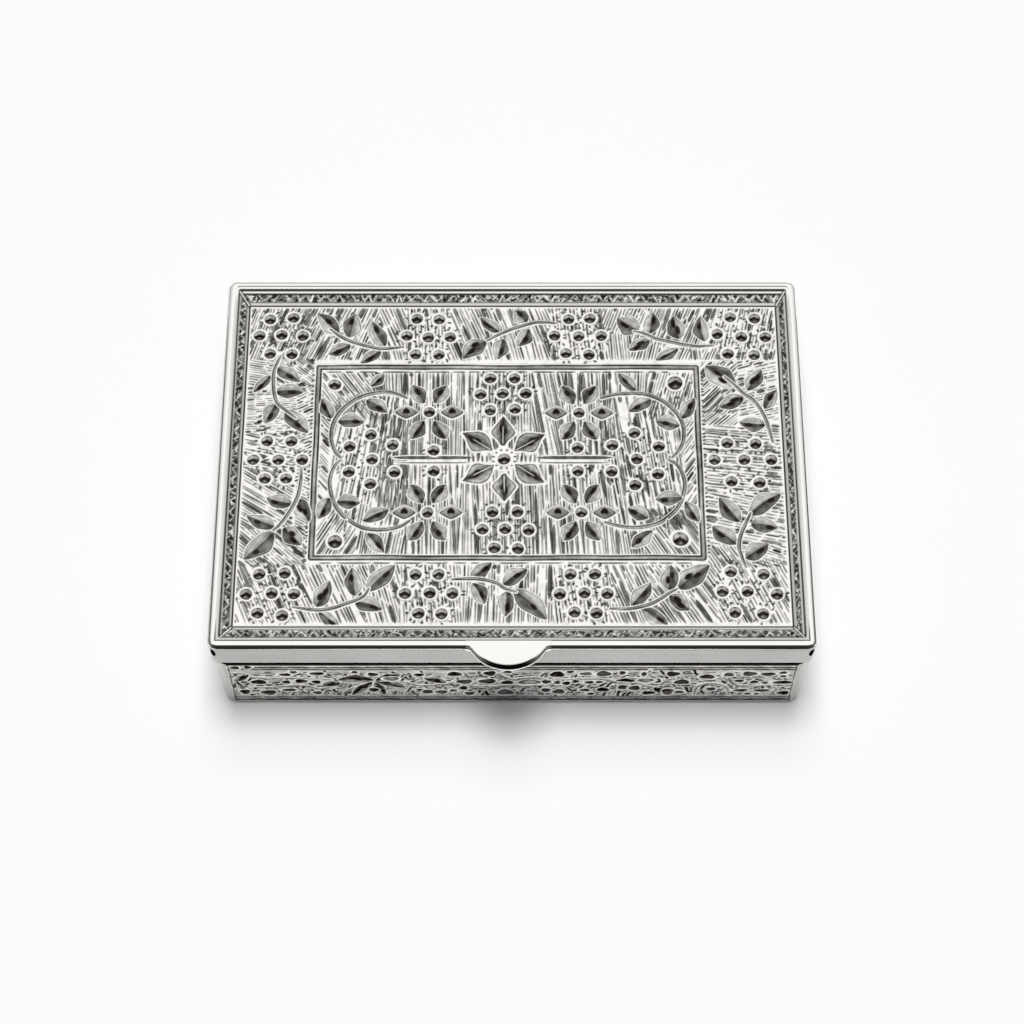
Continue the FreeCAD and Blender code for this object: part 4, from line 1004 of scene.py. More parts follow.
WALL_LEAVES = [
    ((-34.9, 14.2), (-44.0, 14.4), 4.4, -1, -0.6), ((-35.2, 11.6), (-43.2, 5.4), 3.0, 1, 0.4),
    ((-35.4, 13.0), (-40.8, 4.4), 2.6, -1, 0.0), ((-34.6, 13.6), (-27.2, 9.4), 3.0, -1, 0.4),
    ((-34.4, 13.8), (-28.0, 17.8), 3.2, 1, 0.0), ((-34.6, 12.6), (-32.6, 4.6), 2.4, 1, 0.0),
    ((-16.6, 12.6), (-22.2, 15.8), 3.0, 1, 0.0), ((-66.2, 17.6), (-70.2, 13.2), 2.2, 1, 0.0),
    ((-43.4, 12.4), (-48.0, 11.2), 3.2, 1, 0.0), ((26.0, 14.0), (33.5, 14.6), 2.4, -1, 0.0),
    ((47.0, 17.6), (51.4, 13.6), 3.4, -1, 0.0), ((66.0, 10.8), (70.4, 12.8), 2.0, -1, 0.0),
    ((-24.4, 8.4), (-20.0, 5.0), 2.6, 1, 0.0), ((36.0, 9.4), (40.0, 4.8), 2.6, -1, 0.0),
]
WALL_STEMS = [
    [(-70.4, 18.4), (-67.6, 18.4), (-65.0, 16.0), (-60.0, 15.4), (-55.6, 15.6), (-51.0, 15.2), (-47.0, 15.0)],
    [(-66.0, 9.6), (-61.5, 9.4), (-57.4, 10.2), (-52.4, 10.6), (-48.6, 8.6), (-44.6, 10.4)],
    [(-46.4, 10.4), (-43.0, 12.6), (-39.0, 12.6), (-35.0, 13.6)],
    [(-27.4, 13.2), (-23.4, 11.0), (-19.4, 11.2), (-15.4, 12.6), (-13.8, 15.6), (-17.0, 19.0)],
    [(-9.4, 10.6), (-5.4, 10.0), (-1.0, 10.8), (2.6, 10.4), (6.6, 10.8), (9.2, 12.6)],
    [(-4.4, 19.4), (-2.0, 16.4), (0.0, 14.8), (2.6, 15.4), (6.4, 15.8), (9.4, 14.2)],
    [(10.8, 14.8), (14.6, 14.8), (18.4, 15.2), (22.6, 14.8), (26.4, 13.4), (30.4, 12.6), (34.4, 10.4),
     (37.6, 7.4)],
    [(34.6, 21.0), (34.2, 18.2), (36.2, 15.6), (38.4, 14.2), (41.0, 15.4)],
    [(46.4, 4.8), (46.8, 9.8), (49.4, 12.2), (52.8, 11.2), (54.8, 8.2), (55.2, 4.8)],
    [(55.0, 20.2), (54.6, 15.4), (56.6, 11.2), (61.0, 10.2), (65.2, 10.8), (67.4, 8.2)],
]
BLOT_SIZE = 1.25
WALL_TOP = 23.3
WALL_LOW = 0.9
BRIGHT_TONE = 0.93

# The ground of a wall: its tone, lowered as painted shade for the darker reflection an upright wall shows,
# and its grooves as low, high, angle, then pitch, length, width and fill
WALL_GROUND_TONE = 0.76
WALL_ROWS = ((4.2, 7.6, 84), (7.6, 11.4, 30), (11.4, 15.4, 150), (15.4, 19.0, 12))
WALL_GROOVES = (1.1, 2.2, 0.5, 0.85)
# The small bent marks over it: how many there are to a millimetre, and between which heights
MARKS_PER_MM = 2.8
MARKS_LOW = 5.2
MARKS_HIGH = 18.8
# The lines that border the chasing above and below: height, half width, tone
WALL_LINES = (
    (22.05, 0.46, 0.03), (20.8, 0.42, 0.10), (21.4, 0.2, 0.55),
    (3.35, 0.36, 0.24), (2.7, 0.28, 0.34), (2.05, 0.3, 0.28), (1.38, 0.50, 0.0),
)

# The vine on the sides and the back: the bare end of a field, about how long a bend is, and the heights of
# the stalk's and the leaves' middle lines
VINE_END = 2.0
BEND_LENGTH = 11.5
VINE_LINE = 12.2
VINE_SWING = 3.8
LEAF_LINE = 12.0
# The berries of a bend: beside its middle, and above the leaves' line
BEND_BERRIES = ((-1.0, 5.2), (1.6, 6.0), (0.3, 3.0))
# Single berries: beside the middle, below the line, half length, half height
SINGLE_BERRIES = ((-4.4, 5.4, 1.2, 0.9), (-1.4, 6.4, 0.8, 0.7))


def blot(plate, x0, y0, half_x, half_y, tone):
    """A punched hollow with a bright rim."""
    half_x = half_x * BLOT_SIZE
    half_y = half_y * BLOT_SIZE
    part, x, y = plate.window([(x0, y0)], half_x + half_y + 0.8)
    bump = 0.10 * np.cos(3 * np.arctan2(y - y0, x - x0) + x0)
    reach = (np.hypot((x - x0) / half_x, (y - y0) / half_y) - 1 + bump) * min(half_x, half_y)
    plate.lay(part, ease(0.70, 0.42, reach), 0.08, BRIGHT_TONE)
    grain = 0.06 * np.sin(x * 9.0 + y * 5.0 + x0)
    plate.lay(part, ease(0.14, -0.04, reach), -0.08, tone * 0.55 + 0.10 + grain)
    pale = ease(-0.45, -0.85, reach) * ease(0.3, 0.6, tone)
    plate.lay(part, pale, -0.06, tone + 0.2)


def wall_line(plate, left, right, height, width, dark):
    """A cut line along the wall that wanders a little in height and strength."""
    part, x, y = plate.window([(left, height), (right, height)], 1.0)
    wander = 0.08 * np.sin(x * 0.9 + height) + 0.06 * np.sin(x * 2.3 + 2 * height)
    strength = 0.86 + 0.14 * np.sin(x * 0.37 + height * 5) * np.sin(x * 1.31 + height)
    line = line_mask(y - height + wander, width, width * 0.3) * strength
    plate.lay(part, line, -0.08, dark)


def wall_mark(plate, left, right):
    """A small bent mark with a bright edge, at a random place."""
    along = random.uniform(left + 1.0, right - 1.0)
    up = random.uniform(MARKS_LOW, MARKS_HIGH)
    reach = random.uniform(0.3, 1.3)
    turn = random.uniform(-2.0, 2.0)
    middle = along + random.uniform(-0.2, 0.2)
    points = [(along - reach, up - turn), (middle, up + 0.5 * turn), (along + reach, up + turn * 0.4)]
    path = curve_through(points, 3)
    part, x, y = plate.window(path, 0.9)
    gap, _, _ = from_path(x, y, path)
    plate.lay(part, ease(0.85, 0.58, gap) * 0.75, 0.04, BRIGHT_TONE)
    plate.lay(part, ease(0.46, 0.24, gap), -0.07, random.uniform(0.04, 0.34))


def draw_wall_ground(plate, left, right):
    plate.tone[:] = WALL_GROUND_TONE
    for low, high, angle in WALL_ROWS:
        hatch(plate, (left + 0.4, right - 0.4, low, high), angle, *WALL_GROOVES)
    for _ in range(int((right - left) * MARKS_PER_MM)):
        wall_mark(plate, left, right)
    for line in WALL_LINES:
        wall_line(plate, left, right, *line)


def finish_wall(plate, left, right):
    """Weathers the field, and ends it in a pale edge with a dark line inside it at both ends."""
    weather(plate, 0.05)
    x = plate.x[None, :]
    y = plate.y[:, None]
    from_end = np.minimum(x - left, right - x)
    inward = np.minimum(from_end, np.minimum(y - WALL_LOW, WALL_TOP - y))
    plate.tone = blend(plate.tone, 0.80, ease(0.2, 0.08, inward))
    plate.tone = blend(plate.tone, 0.30, line_mask(from_end - 0.55, 0.2, 0.08))
    plate.height = np.clip(plate.height, -0.12, 0.12) * ease(0.0, 0.5, inward)


def draw_front(plate, left, right):
    """Leaves, stalks and punched hollows, as on the front."""
    draw_wall_ground(plate, left, right)
    for points in WALL_STEMS:
        stem(plate, points, 0.8)
    for base, tip, width, dark_side, bend in WALL_LEAVES:
        leaf(plate, base, tip, width, dark_side, 0.5, bend, spots=2, light=-0.22)
    for hollow in WALL_BLOTS:
        blot(plate, *hollow)
    finish_wall(plate, left, right)


def draw_side(plate, left, right):
    """A vine that winds along the wall, with leaves and berries in each of its bends."""
    draw_wall_ground(plate, left, right)
    bends = max(4, round((right - left) / BEND_LENGTH))
    start = left + VINE_END
    span = (right - left - 2 * VINE_END) / bends
    points = []
    for count in range(bends * 4 + 1):
        points.append((start + span * count / 4, VINE_LINE + VINE_SWING * math.sin(count * math.pi / 2)))
    stem(plate, points, 0.8)
    for count in range(bends):
        middle = start + span * (count + 0.5)
        rise = 1 if count % 2 == 0 else -1
        base_x = middle + span * 0.16
        long_leaf = ((base_x, LEAF_LINE + rise * 1.0), (base_x + 3.2, LEAF_LINE - rise * 6.2))
        short_leaf = ((middle - 2.8, VINE_LINE), (middle - 5.0, LEAF_LINE + rise * 5.6))
        leaf(plate, *long_leaf, 3.2, rise, 0.5, 0.4, light=-0.04)
        leaf(plate, *short_leaf, 2.6, -rise, 0.5, 0.2, light=-0.04)
        for aside, lift in BEND_BERRIES:
            blot(plate, middle + aside, LEAF_LINE + rise * lift, 0.95, 0.85, random.uniform(0.15, 0.35))
        for aside, drop, half_x, half_y in SINGLE_BERRIES:
            blot(plate, middle + aside, LEAF_LINE - rise * drop, half_x, half_y, random.uniform(0.15, 0.4))
    finish_wall(plate, left, right)


# Meshes


def new_object(name, data):
    item = bpy.data.objects.new(name, data)
    bpy.context.scene.collection.objects.link(item)
    return item


def side_faces(edge, first_ring, count_x, count_y):
    """The walls and the back of a closed plate: from the edge of its face to the ring below it, which
    starts at first_ring, and from the ring to the back's four corners, which come after the ring."""
    first_corner = first_ring + len(edge)
    walls = []
    for here in range(len(edge)):
        after = (here + 1) % len(edge)
        walls.append((int(edge[after]), int(edge[here]), first_ring + here, first_ring + after))
    start = 0
    for number, steps in enumerate((count_x - 1, count_y - 1, count_x - 1, count_y - 1)):
        here = first_corner + number
        for step in range(start, start + steps):
            walls.append((first_ring + (step + 1) % len(edge), first_ring + step, here))
        start += steps
        walls.append((first_ring + start % len(edge), here, first_corner + (number + 1) % 4))
    return walls, (first_corner, first_corner + 3, first_corner + 2, first_corner + 1)


def plate_piece(name, plate, rows, columns, place, back, body, material):
    """A closed piece from a part of a plate: the chased face, its four walls and a flat back. place turns
    x, y and height in millimetres into a point in metres, and back is the height of the flat back."""
    xs, ys = np.meshgrid(plate.x[columns], plate.y[rows])
    heights = plate.height[rows, columns]
    tones = plate.tone[rows, columns]
    count_y, count_x = xs.shape
    top = place(xs.ravel(), ys.ravel(), heights.ravel())
    index = np.arange(count_y * count_x).reshape(count_y, count_x)
    # The edge of the face, and a level ring below it that lies lower than every groove
    edge = np.concatenate([index[0, :-1], index[:-1, -1], index[-1, :0:-1], index[:0:-1, 0]])
    level = np.full(len(edge), (heights.min() + back) / 2)
    ring = place(xs.ravel()[edge], ys.ravel()[edge], level)
    bottom = place(xs[0, [0, -1, -1, 0]], ys[[0, 0, -1, -1], 0], np.full(4, back))
    quads = np.stack([index[:-1, :-1], index[:-1, 1:], index[1:, 1:], index[1:, :-1]], axis=-1).reshape(-1, 4)
    walls, back_face = side_faces(edge, index.size, count_x, count_y)
    faces = quads.tolist() + walls + [back_face]
    mesh = bpy.data.meshes.new(name)
    mesh.from_pydata(np.vstack([top, ring, bottom]).tolist(), [], faces)
    mesh.polygons.foreach_set("use_smooth", np.arange(len(faces)) < len(quads))
    tone = mesh.attributes.new("tone", "FLOAT", "POINT")
    all_tones = np.concatenate([tones.ravel(), np.full(len(edge) + 4, UNSEEN_TONE)])
    tone.data.foreach_set("value", all_tones.astype(np.float32))
    add_flat_map(mesh, quads, walls, xs, ys)
    mesh.materials.append(material)
    mesh.update()
    corners = np.zeros((len(mesh.loops), 3))
    corners[: quads.size] = face_normals(plate, rows, columns, place)[quads.ravel()]
    mesh.normals_split_custom_set(corners.tolist())
    piece = new_object(name, mesh)
    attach(piece, body)
    return piece


def face_normals(plate, rows, columns, place):
    """The normals of the chased face, taken from the whole plate, so that no seam shows where two pieces
    of it meet."""
    zero = np.zeros(1)
    origin = place(zero, zero, zero)[0]
    across = place(zero + 1, zero, zero)[0] - origin
    along = place(zero, zero + 1, zero)[0] - origin
    out = place(zero, zero, zero + 1)[0] - origin
    lean_x, lean_y = [lean[rows, columns].reshape(-1, 1) for lean in plate.leans()]
    normals = np.cross(across + out * -lean_x, along + out * -lean_y)
    return normals / np.linalg.norm(normals, axis=1, keepdims=True)


def add_flat_map(mesh, quads, walls, xs, ys):
    """A map for baking: the face over most of the square, and the walls and back in a strip below it."""
    share_x = (xs - xs[0, 0]) / (xs[0, -1] - xs[0, 0]) * 0.98 + 0.01
    share_y = (ys - ys[0, 0]) / (ys[-1, 0] - ys[0, 0]) * 0.92 + 0.07
    flat = np.stack([share_x.ravel(), share_y.ravel()], axis=1)
    on_face = flat[quads.ravel()]
    strips = []
    for number, wall in enumerate(walls):
        first = 0.01 + 0.98 * number / len(walls)
        last = 0.01 + 0.98 * (number + 1) / len(walls)
        strips += [(last, 0.03), (first, 0.03), (first, 0.01), (last, 0.01)][: len(wall)]
    back = [(0.01, 0.04), (0.01, 0.055), (0.99, 0.055), (0.99, 0.04)]
    places = np.vstack([on_face, np.array(strips + back)]).astype(np.float32)
    flat_map = mesh.uv_layers.new(name="OFBake")
    flat_map.data.foreach_set("uv", places.ravel())


# Materials

WHITE = (1, 1, 1, 1)
BLACK = (0, 0, 0, 1)
# The dark colour of the rim's painted shade and painted reflection
RIM_PAINTED_SHADE = (0.07, 0.062, 0.052, 1)
TONE_POWER = 2.2


class Shading:
    """The nodes of a material or of the world, with short ways to add to them. A value is a number, a
    colour or another node's output."""

    def __init__(self, owner, shader="Principled BSDF"):
        owner.use_nodes = True
        self.owner = owner
        self.nodes = owner.node_tree.nodes
        self.links = owner.node_tree.links
        self.shader = self.nodes[shader]

    def put(self, socket, value):
        if isinstance(value, bpy.types.NodeSocket):
            self.links.new(value, socket)
        else:
            socket.default_value = value

    def give(self, name, value):
        """Sets one of the shader's inputs."""
        self.put(self.shader.inputs[name], value)

    def add(self, kind, inputs, **settings):
        """Adds a node and gives its outputs."""
        node = self.nodes.new("ShaderNode" + kind)
        for name, value in settings.items():
            setattr(node, name, value)
        for name, value in inputs.items():
            self.put(node.inputs[name], value)
        return node.outputs

    def maths(self, operation, *values):
        return self.add("Math", dict(enumerate(values)), operation=operation)["Value"]

    def all_of(self, operation, *values):
        """Applies the operation to the first two values, then to the result and the next, and so on."""
        result = values[0]
        for value in values[1:]:
            result = self.maths(operation, result, value)
        return result

    def ramp(self, value, low, high, from_low=0.0, from_high=1.0):
        sizes = {"From Min": from_low, "From Max": from_high, "To Min": low, "To Max": high}
        return self.add("MapRange", {"Value": value, **sizes})["Result"]

    def fade(self, value, start, end, first=1.0, last=0.0):
        """Goes from first to last as a length goes from start to end, which are in millimetres."""
        return self.ramp(value, first, last, start * MM, end * MM)

    def mix(self, share, first, second):
        return self.add("Mix", {"Factor": share, "A": first, "B": second}, data_type="RGBA")["Result"]

    def cover(self, name, share, colour):
        """Turns one of the shader's inputs to a colour where the share is 1."""
        links = self.shader.inputs[name].links
        before = links[0].from_socket if links else WHITE
        self.give(name, self.mix(share, before, colour))

    def places(self):
        """The object's own coordinates."""
        return self.add("TexCoord", {})["Object"]

    def axes(self):
        """The object's own x, y and z, in metres."""
        apart = self.add("SeparateXYZ", {"Vector": self.places()})
        return apart["X"], apart["Y"], apart["Z"]

    def noise(self, scale, detail, stretch=(1, 1, 1)):
        """Noise over the object's own coordinates, in patterns per metre."""
        turned = self.add("Mapping", {"Vector": self.places(), "Scale": stretch})["Vector"]
        return self.add("TexNoise", {"Vector": turned, "Scale": scale, "Detail": detail})["Fac"]

    def bump(self, value, distance, strength):
        sizes = {"Height": value, "Distance": distance, "Strength": strength}
        self.give("Normal", self.add("Bump", sizes)["Normal"])

    def end_with(self, closure):
        """Puts another closure in the shader's place."""
        self.nodes.remove(self.shader)
        self.links.new(closure, self.nodes["Material Output"].inputs["Surface"])

    def seen_directly(self):
        """1 for rays from the camera, from metal and through glass, and 0 for the rest."""
        path = self.add("LightPath", {})
        rays = [path[f"Is {kind} Ray"] for kind in ("Camera", "Glossy", "Transmission")]
        return self.all_of("MAXIMUM", *rays)


def new_material(name):
    return Shading(bpy.data.materials.new(name))


def polished_silver(name, bright, dull, low=0.07, high=0.17):
    """Hand-polished silver: faint clouds of tarnish, and fine scratches in its gloss. low and high are its
    roughness."""
    metal = new_material(name)
    metal.give("Metallic", 1.0)
    clouds = metal.noise(55.0, 3.0)
    metal.give("Base Color", metal.mix(metal.ramp(clouds, 0.0, 1.0, 0.38, 0.66), bright, dull))
    scratches = metal.noise(900.0, 3.0, (0.06, 1.0, 1.0))
    metal.give("Roughness", metal.ramp(scratches, low, high, 0.35, 0.68))
    metal.bump(scratches, 0.000004, 0.5)
    return metal


def bright_silver(name):
    return polished_silver(name, (0.975, 0.965, 0.94, 1), (0.945, 0.93, 0.90, 1), 0.03, 0.08)


def rim_silver(name, half_x, half_y, low_z, rim_width, bead_width, quirk_width):
    """Bright silver with painted shade in the fine line outside the bead, along the inner edge of the rim, on
    its lower side and at its left edge, and a painted reflection of the dark room on its front shoulder. The
    sizes are in millimetres."""
    metal = bright_silver(name)
    fade = metal.fade
    x, y, z = metal.axes()
    from_side = metal.maths("SUBTRACT", half_x * MM, metal.maths("ABSOLUTE", x))
    from_end = metal.maths("SUBTRACT", half_y * MM, metal.maths("ABSOLUTE", y))
    inward = metal.maths("MINIMUM", from_side, from_end)
    bead = rim_width - bead_width
    reach = quirk_width / 2
    off = metal.maths("ABSOLUTE", metal.maths("SUBTRACT", inward, (bead - reach) * MM))
    # The painted shade in the line and at the inner edge is strongest at the front and ends at the back
    front = (3.8 - half_y, 7.8 - half_y)
    at_rear = fade(y, half_y - 9.8, half_y - 3.8)
    in_line = fade(off, reach * 0.9, reach * 1.6)
    in_line = metal.all_of("MULTIPLY", in_line, fade(y, *front, 1.0, 0.25), at_rear)
    at_edge = fade(inward, rim_width - 0.17, rim_width, 0.0, 0.75)
    at_edge = metal.all_of("MULTIPLY", at_edge, fade(y, *front, 1.0, 0.15), at_rear)
    # Painted shade on the bead but at the back, on the lower side of the rim, over the whole of its back, and
    # at its left edge
    on_bead = fade(inward, bead, bead + 0.1, 0.0, 0.36)
    on_bead = metal.maths("MULTIPLY", on_bead, fade(y, half_y - 6.8, half_y - 3.8))
    on_side = fade(z, low_z + 0.75, low_z + 1.05, 0.6)
    at_back = fade(y, half_y - 3.8, half_y - 2.6, 0.0, 0.04)
    at_left = fade(x, 0.08 - half_x, 0.5 - half_x, 0.62)
    # A painted reflection of the dark room in front, as a dark line on the rounded shoulder at the front
    shoulder = metal.all_of(
        "MULTIPLY",
        fade(z, low_z + 1.15, low_z + 1.30, 0.0, 0.8),
        fade(z, low_z + 1.72, low_z + 1.86),
        fade(y, 0.6 - half_y, 0.9 - half_y),
    )
    most = metal.all_of("MAXIMUM", in_line, at_edge, on_bead, on_side, at_back, at_left, shoulder)
    # All these masks paint shade and reflection in the one dark colour
    metal.cover("Base Color", most, RIM_PAINTED_SHADE)
    return metal.owner


def thumb_silver(name, front, top):
    """Bright silver with a painted reflection of the dark room in front: dark along the rounded front of the
    thumb piece and bright again at its lip. front and top are where the piece ends, in millimetres."""
    metal = bright_silver(name)
    _, y, z = metal.axes()
    below = metal.fade(z, top - 0.16, top - 0.03)
    above = metal.fade(z, top - 1.35, top - 1.2, 0.0, 1.0)
    ahead = metal.fade(y, front + 1.2, front + 4.0)
    # Paints the dark reflection along the rounded front
    metal.cover("Base Color", metal.all_of("MULTIPLY", below, above, ahead), (0.02, 0.018, 0.015, 1))
    return metal.owner


def darkened_silver(name, bright, dull, darkest, start_z, end_z, clear_z):
    """Plain silver that darkens between two heights as painted shade, and is bright again above clear_z."""
    metal = polished_silver(name, bright, dull, 0.16, 0.28)
    z = metal.axes()[2]
    # The painted shade between the two heights
    dark = metal.fade(z, start_z, end_z, 0.0, 1.0)
    dark = metal.maths("MULTIPLY", dark, metal.fade(z, clear_z, clear_z + 0.05))
    metal.cover("Base Color", dark, darkest)
    metal.cover("Specular Tint", dark, BLACK)
    return metal


def add_corner_spots(metal, place, reach):
    """A painted dark reflection on each rounded front corner, around a place given for the right one in
    millimetres.
    """
    x, y, z = metal.axes()
    mirrored = metal.add("CombineXYZ", {"X": metal.maths("ABSOLUTE", x), "Y": y, "Z": z})["Vector"]
    sizes = [1 / (size * MM) for size in reach]
    shift = [-middle / size for middle, size in zip(place, reach)]
    off = metal.add("VectorMath", {0: mirrored, 1: sizes, 2: shift}, operation="MULTIPLY_ADD")["Vector"]
    far = metal.add("VectorMath", {0: off}, operation="LENGTH")["Value"]
    spot = metal.ramp(far, 1.0, 0.0, 0.75, 1.0)
    metal.cover("Base Color", spot, (0.012, 0.010, 0.008, 1))
    metal.cover("Specular Tint", spot, BLACK)


def chased_silver(name):
    """Silver whose patina stays in the cuts: the tone drawn on the plate sets its colour and gloss. The tone
    holds painted shade and painted highlights of the ornament as well.
    """
    metal = new_material(name)
    metal.give("Metallic", 1.0)
    drawn = metal.add("Attribute", {}, attribute_name="tone")["Fac"]
    level = metal.maths("POWER", drawn, TONE_POWER)
    metal.give("Base Color", metal.mix(level, (0.014, 0.011, 0.008, 1), (0.985, 0.965, 0.935, 1)))
    metal.give("Specular Tint", metal.mix(metal.ramp(drawn, 0.0, 1.0, 0.05, 0.5), BLACK, WHITE))
    metal.give("Roughness", metal.ramp(drawn, 0.42, 0.13))
    metal.bump(metal.noise(2600.0, 4.0), 0.00002, 0.5)
    return metal.owner


def cedar(name, axis):
    """Reddish cedar with its grain along one axis: 0 for x and 1 for y."""
    wood = new_material(name)
    stretch = [1.0, 1.0, 1.0]
    stretch[axis] = 0.05
    rings = wood.ramp(wood.noise(160.0, 6.0, tuple(stretch)), 0.0, 1.0, 0.32, 0.68)
    wood.give("Base Color", wood.mix(rings, (0.30, 0.115, 0.052, 1), (0.52, 0.26, 0.135, 1)))
    stretch[axis] = 0.02
    fibres = wood.ramp(wood.noise(1100.0, 5.0, tuple(stretch)), 0.0, 0.62, 0.50, 0.68)
    wood.cover("Base Color", fibres, (0.17, 0.055, 0.024, 1))
    pores = wood.noise(900.0, 3.0, tuple(stretch))
    wood.give("Roughness", wood.ramp(pores, 0.42, 0.62))
    wood.bump(pores, 0.00005, 0.6)
    return wood.owner


# Building

SOLDER_GAP = 0.02
BEAD_WIDTH = 0.85
QUIRK_WIDTH = 0.25

rim_low, rim_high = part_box("lid_rim")
panel_low, panel_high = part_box("lid_panel")
band_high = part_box("lid_band")[1] / MM
thumb_low, thumb_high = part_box("thumb_piece")
wall_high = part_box("case_wall")[1]
CASE_TOP_Z = wall_high.z / MM
RIM_WIDTH = (rim_high.x - panel_high.x) / MM - SOLDER_GAP

silver = polished_silver("polished_silver", (0.93, 0.915, 0.89, 1), (0.86, 0.845, 0.815, 1)).owner
worn_silver = polished_silver(
    "hinge_silver", (0.90, 0.885, 0.86, 1), (0.74, 0.72, 0.685, 1), 0.16, 0.30
).owner
bright_thumb = thumb_silver("thumb_silver", thumb_low.y / MM, thumb_high.z / MM)
bright_rim = rim_silver(
    "rim_silver", rim_high.x / MM, rim_high.y / MM, rim_low.z / MM, RIM_WIDTH, BEAD_WIDTH, QUIRK_WIDTH
)
# The band: satin silver whose colour is lowered as painted shade, for the darker reflection it shows, with a
# line of painted shade just under the rim
satin_and_painted_shade = darkened_silver(
    "satin_silver_painted_shade", (0.51, 0.50, 0.487, 1), (0.46, 0.45, 0.437, 1), (0.45, 0.445, 0.44, 1),
    band_high.z - 0.5, band_high.z - 0.2, band_high.z + 1.0,
)
# Painted dark reflections on the band's rounded front corners
add_corner_spots(satin_and_painted_shade, (band_high.x - 0.9, 0.45 - band_high.y, band_high.z - 2.2), (0.9, 1.1, 2.0))
# The case: silver whose colour is lowered as painted shade, for the darker reflection of its upright walls,
# and black just under the lid's edge as a painted shadow in the gap
case_silver = darkened_silver(
    "case_silver", (0.49, 0.48, 0.46, 1), (0.41, 0.40, 0.382, 1), (0.008, 0.007, 0.006, 1),
    CASE_TOP_Z - 1.9, CASE_TOP_Z - 1.6, CASE_TOP_Z - 0.43,
).owner
chased = chased_silver("chased_silver")
cedar_x = cedar("cedar_x", 0)
cedar_y = cedar("cedar_y", 1)

# The solids' materials. The parts of the hinge have worn silver
NODE_MATERIALS = {
    "case_wall": case_silver,
    "base_plate": case_silver,
    "lid_band": satin_and_painted_shade.owner,
    "lid_rim": bright_rim,
    "thumb_piece": bright_thumb,
    "lid_panel": silver,
    "lining_left": cedar_y,
    "lining_right": cedar_y,
}
for name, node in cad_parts.items():
    usual = cedar_x if "lining" in name else worn_silver
    node.data.materials.clear()
    node.data.materials.append(NODE_MATERIALS.get(name, usual))

# The lid panel's place and its border, from the CAD panel
PANEL_HALF_X = panel_high.x / MM
PANEL_HALF_Y = panel_high.y / MM
PANEL_THICKNESS = 0.9
PANEL_FACE_Z = panel_low.z / MM + PANEL_THICKNESS
PANEL_BACK_Z = panel_low.z / MM + 0.03
BORDER_WIDTH = 2.9
BORDER_RISE = panel_high.z / MM - PANEL_FACE_Z - SOLDER_GAP

# The middle of the lid lies this far behind the middle of the pattern
LID_MIDDLE_Y = 0.3

lid_low = LID_MIDDLE_Y - PANEL_HALF_Y
lid_high = LID_MIDDLE_Y + PANEL_HALF_Y
lid_plate = Plate(-PANEL_HALF_X, PANEL_HALF_X, lid_low, lid_high, LID_STEP)
draw_panel(lid_plate, PANEL_HALF_X, PANEL_HALF_Y, BORDER_WIDTH, LID_MIDDLE_Y, BORDER_RISE)


def on_lid(x, y, height):
    return np.stack([x, y - LID_MIDDLE_Y, PANEL_FACE_Z + height], axis=1) * MM


def halves(count):
    """The two halves of a count of steps, which meet at a shared line."""
    return slice(0, count // 2 + 1), slice(count // 2, None)


for side_y, rows in zip(("front", "back"), halves(lid_plate.rows)):
    for side_x, columns in zip(("left", "right"), halves(lid_plate.columns)):
        name = f"lid_chasing_{side_y}_{side_x}"
        back = PANEL_BACK_Z - PANEL_FACE_Z
        piece = plate_piece(name, lid_plate, rows, columns, on_lid, back, "lid", chased)
        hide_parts("lid_panel")

# The chased fields of the case: their walls lean outwards
CASE_TAPER = 0.9
# The mouth as if its edge had no bevel
MOUTH_HALF_X = 74.5
MOUTH_HALF_Y = 53.3
FIELD_PROUD = 0.14
# The pattern's heights are counted from a line this far above the underside
FIELD_LIFT = 1.0
FIELD_BACK = -0.3
FRONT_FIELD = 71.3
SIDE_FIELD = 49.6


def on_wall(turn, half_mouth):
    """A function that places a field on the wall whose outward direction is -y turned by quarter turns."""
    spin = np.array(Matrix.Rotation(turn * math.pi / 2, 3, "Z"))

    def place(x, y, height):
        z = y + FIELD_LIFT
        outward = half_mouth - CASE_TAPER * (1 - z / CASE_TOP_Z) + FIELD_PROUD + height
        flat = np.stack([x, -outward, z], axis=1) * MM
        return flat @ spin.T

    return place


for side, turn, half_mouth, half_field, draw in (
    ("front", 0, MOUTH_HALF_Y, FRONT_FIELD, draw_front),
    ("right", 1, MOUTH_HALF_X, SIDE_FIELD, draw_side),
    ("back", 2, MOUTH_HALF_Y, FRONT_FIELD, draw_side),
    ("left", 3, MOUTH_HALF_X, SIDE_FIELD, draw_side),
):
    field = Plate(-half_field, half_field, WALL_LOW, WALL_TOP, WALL_STEP)
    draw(field, -half_field, half_field)
    name = f"case_chasing_{side}"
    place = on_wall(turn, half_mouth)
    plate_piece(name, field, slice(None), slice(None), place, FIELD_BACK, "case", chased)

# Floor, light and camera

FLOOR_REACH = 6.0
FLOOR_GLOW = 0.01
WORLD_LIGHT = 0.06
# The cards on the floor: how far they reach, and how high they lie at the sides and in front; and how high
# an upright card starts at the lowest
FLOOR_CARD_REACH = 3.0
FLOOR_CARD_HEIGHT = 0.0025
FRONT_CARD_HEIGHT = 0.002
LEAST_HEIGHT = 0.003
# About the angle that one face of a card covers
CARD_STEP = 5
# How far a card reaches round the box at a side, at a rear corner and beside the front one, in degrees
SIDE_SPAN = 64.0
CORNER_SPAN = 33.0


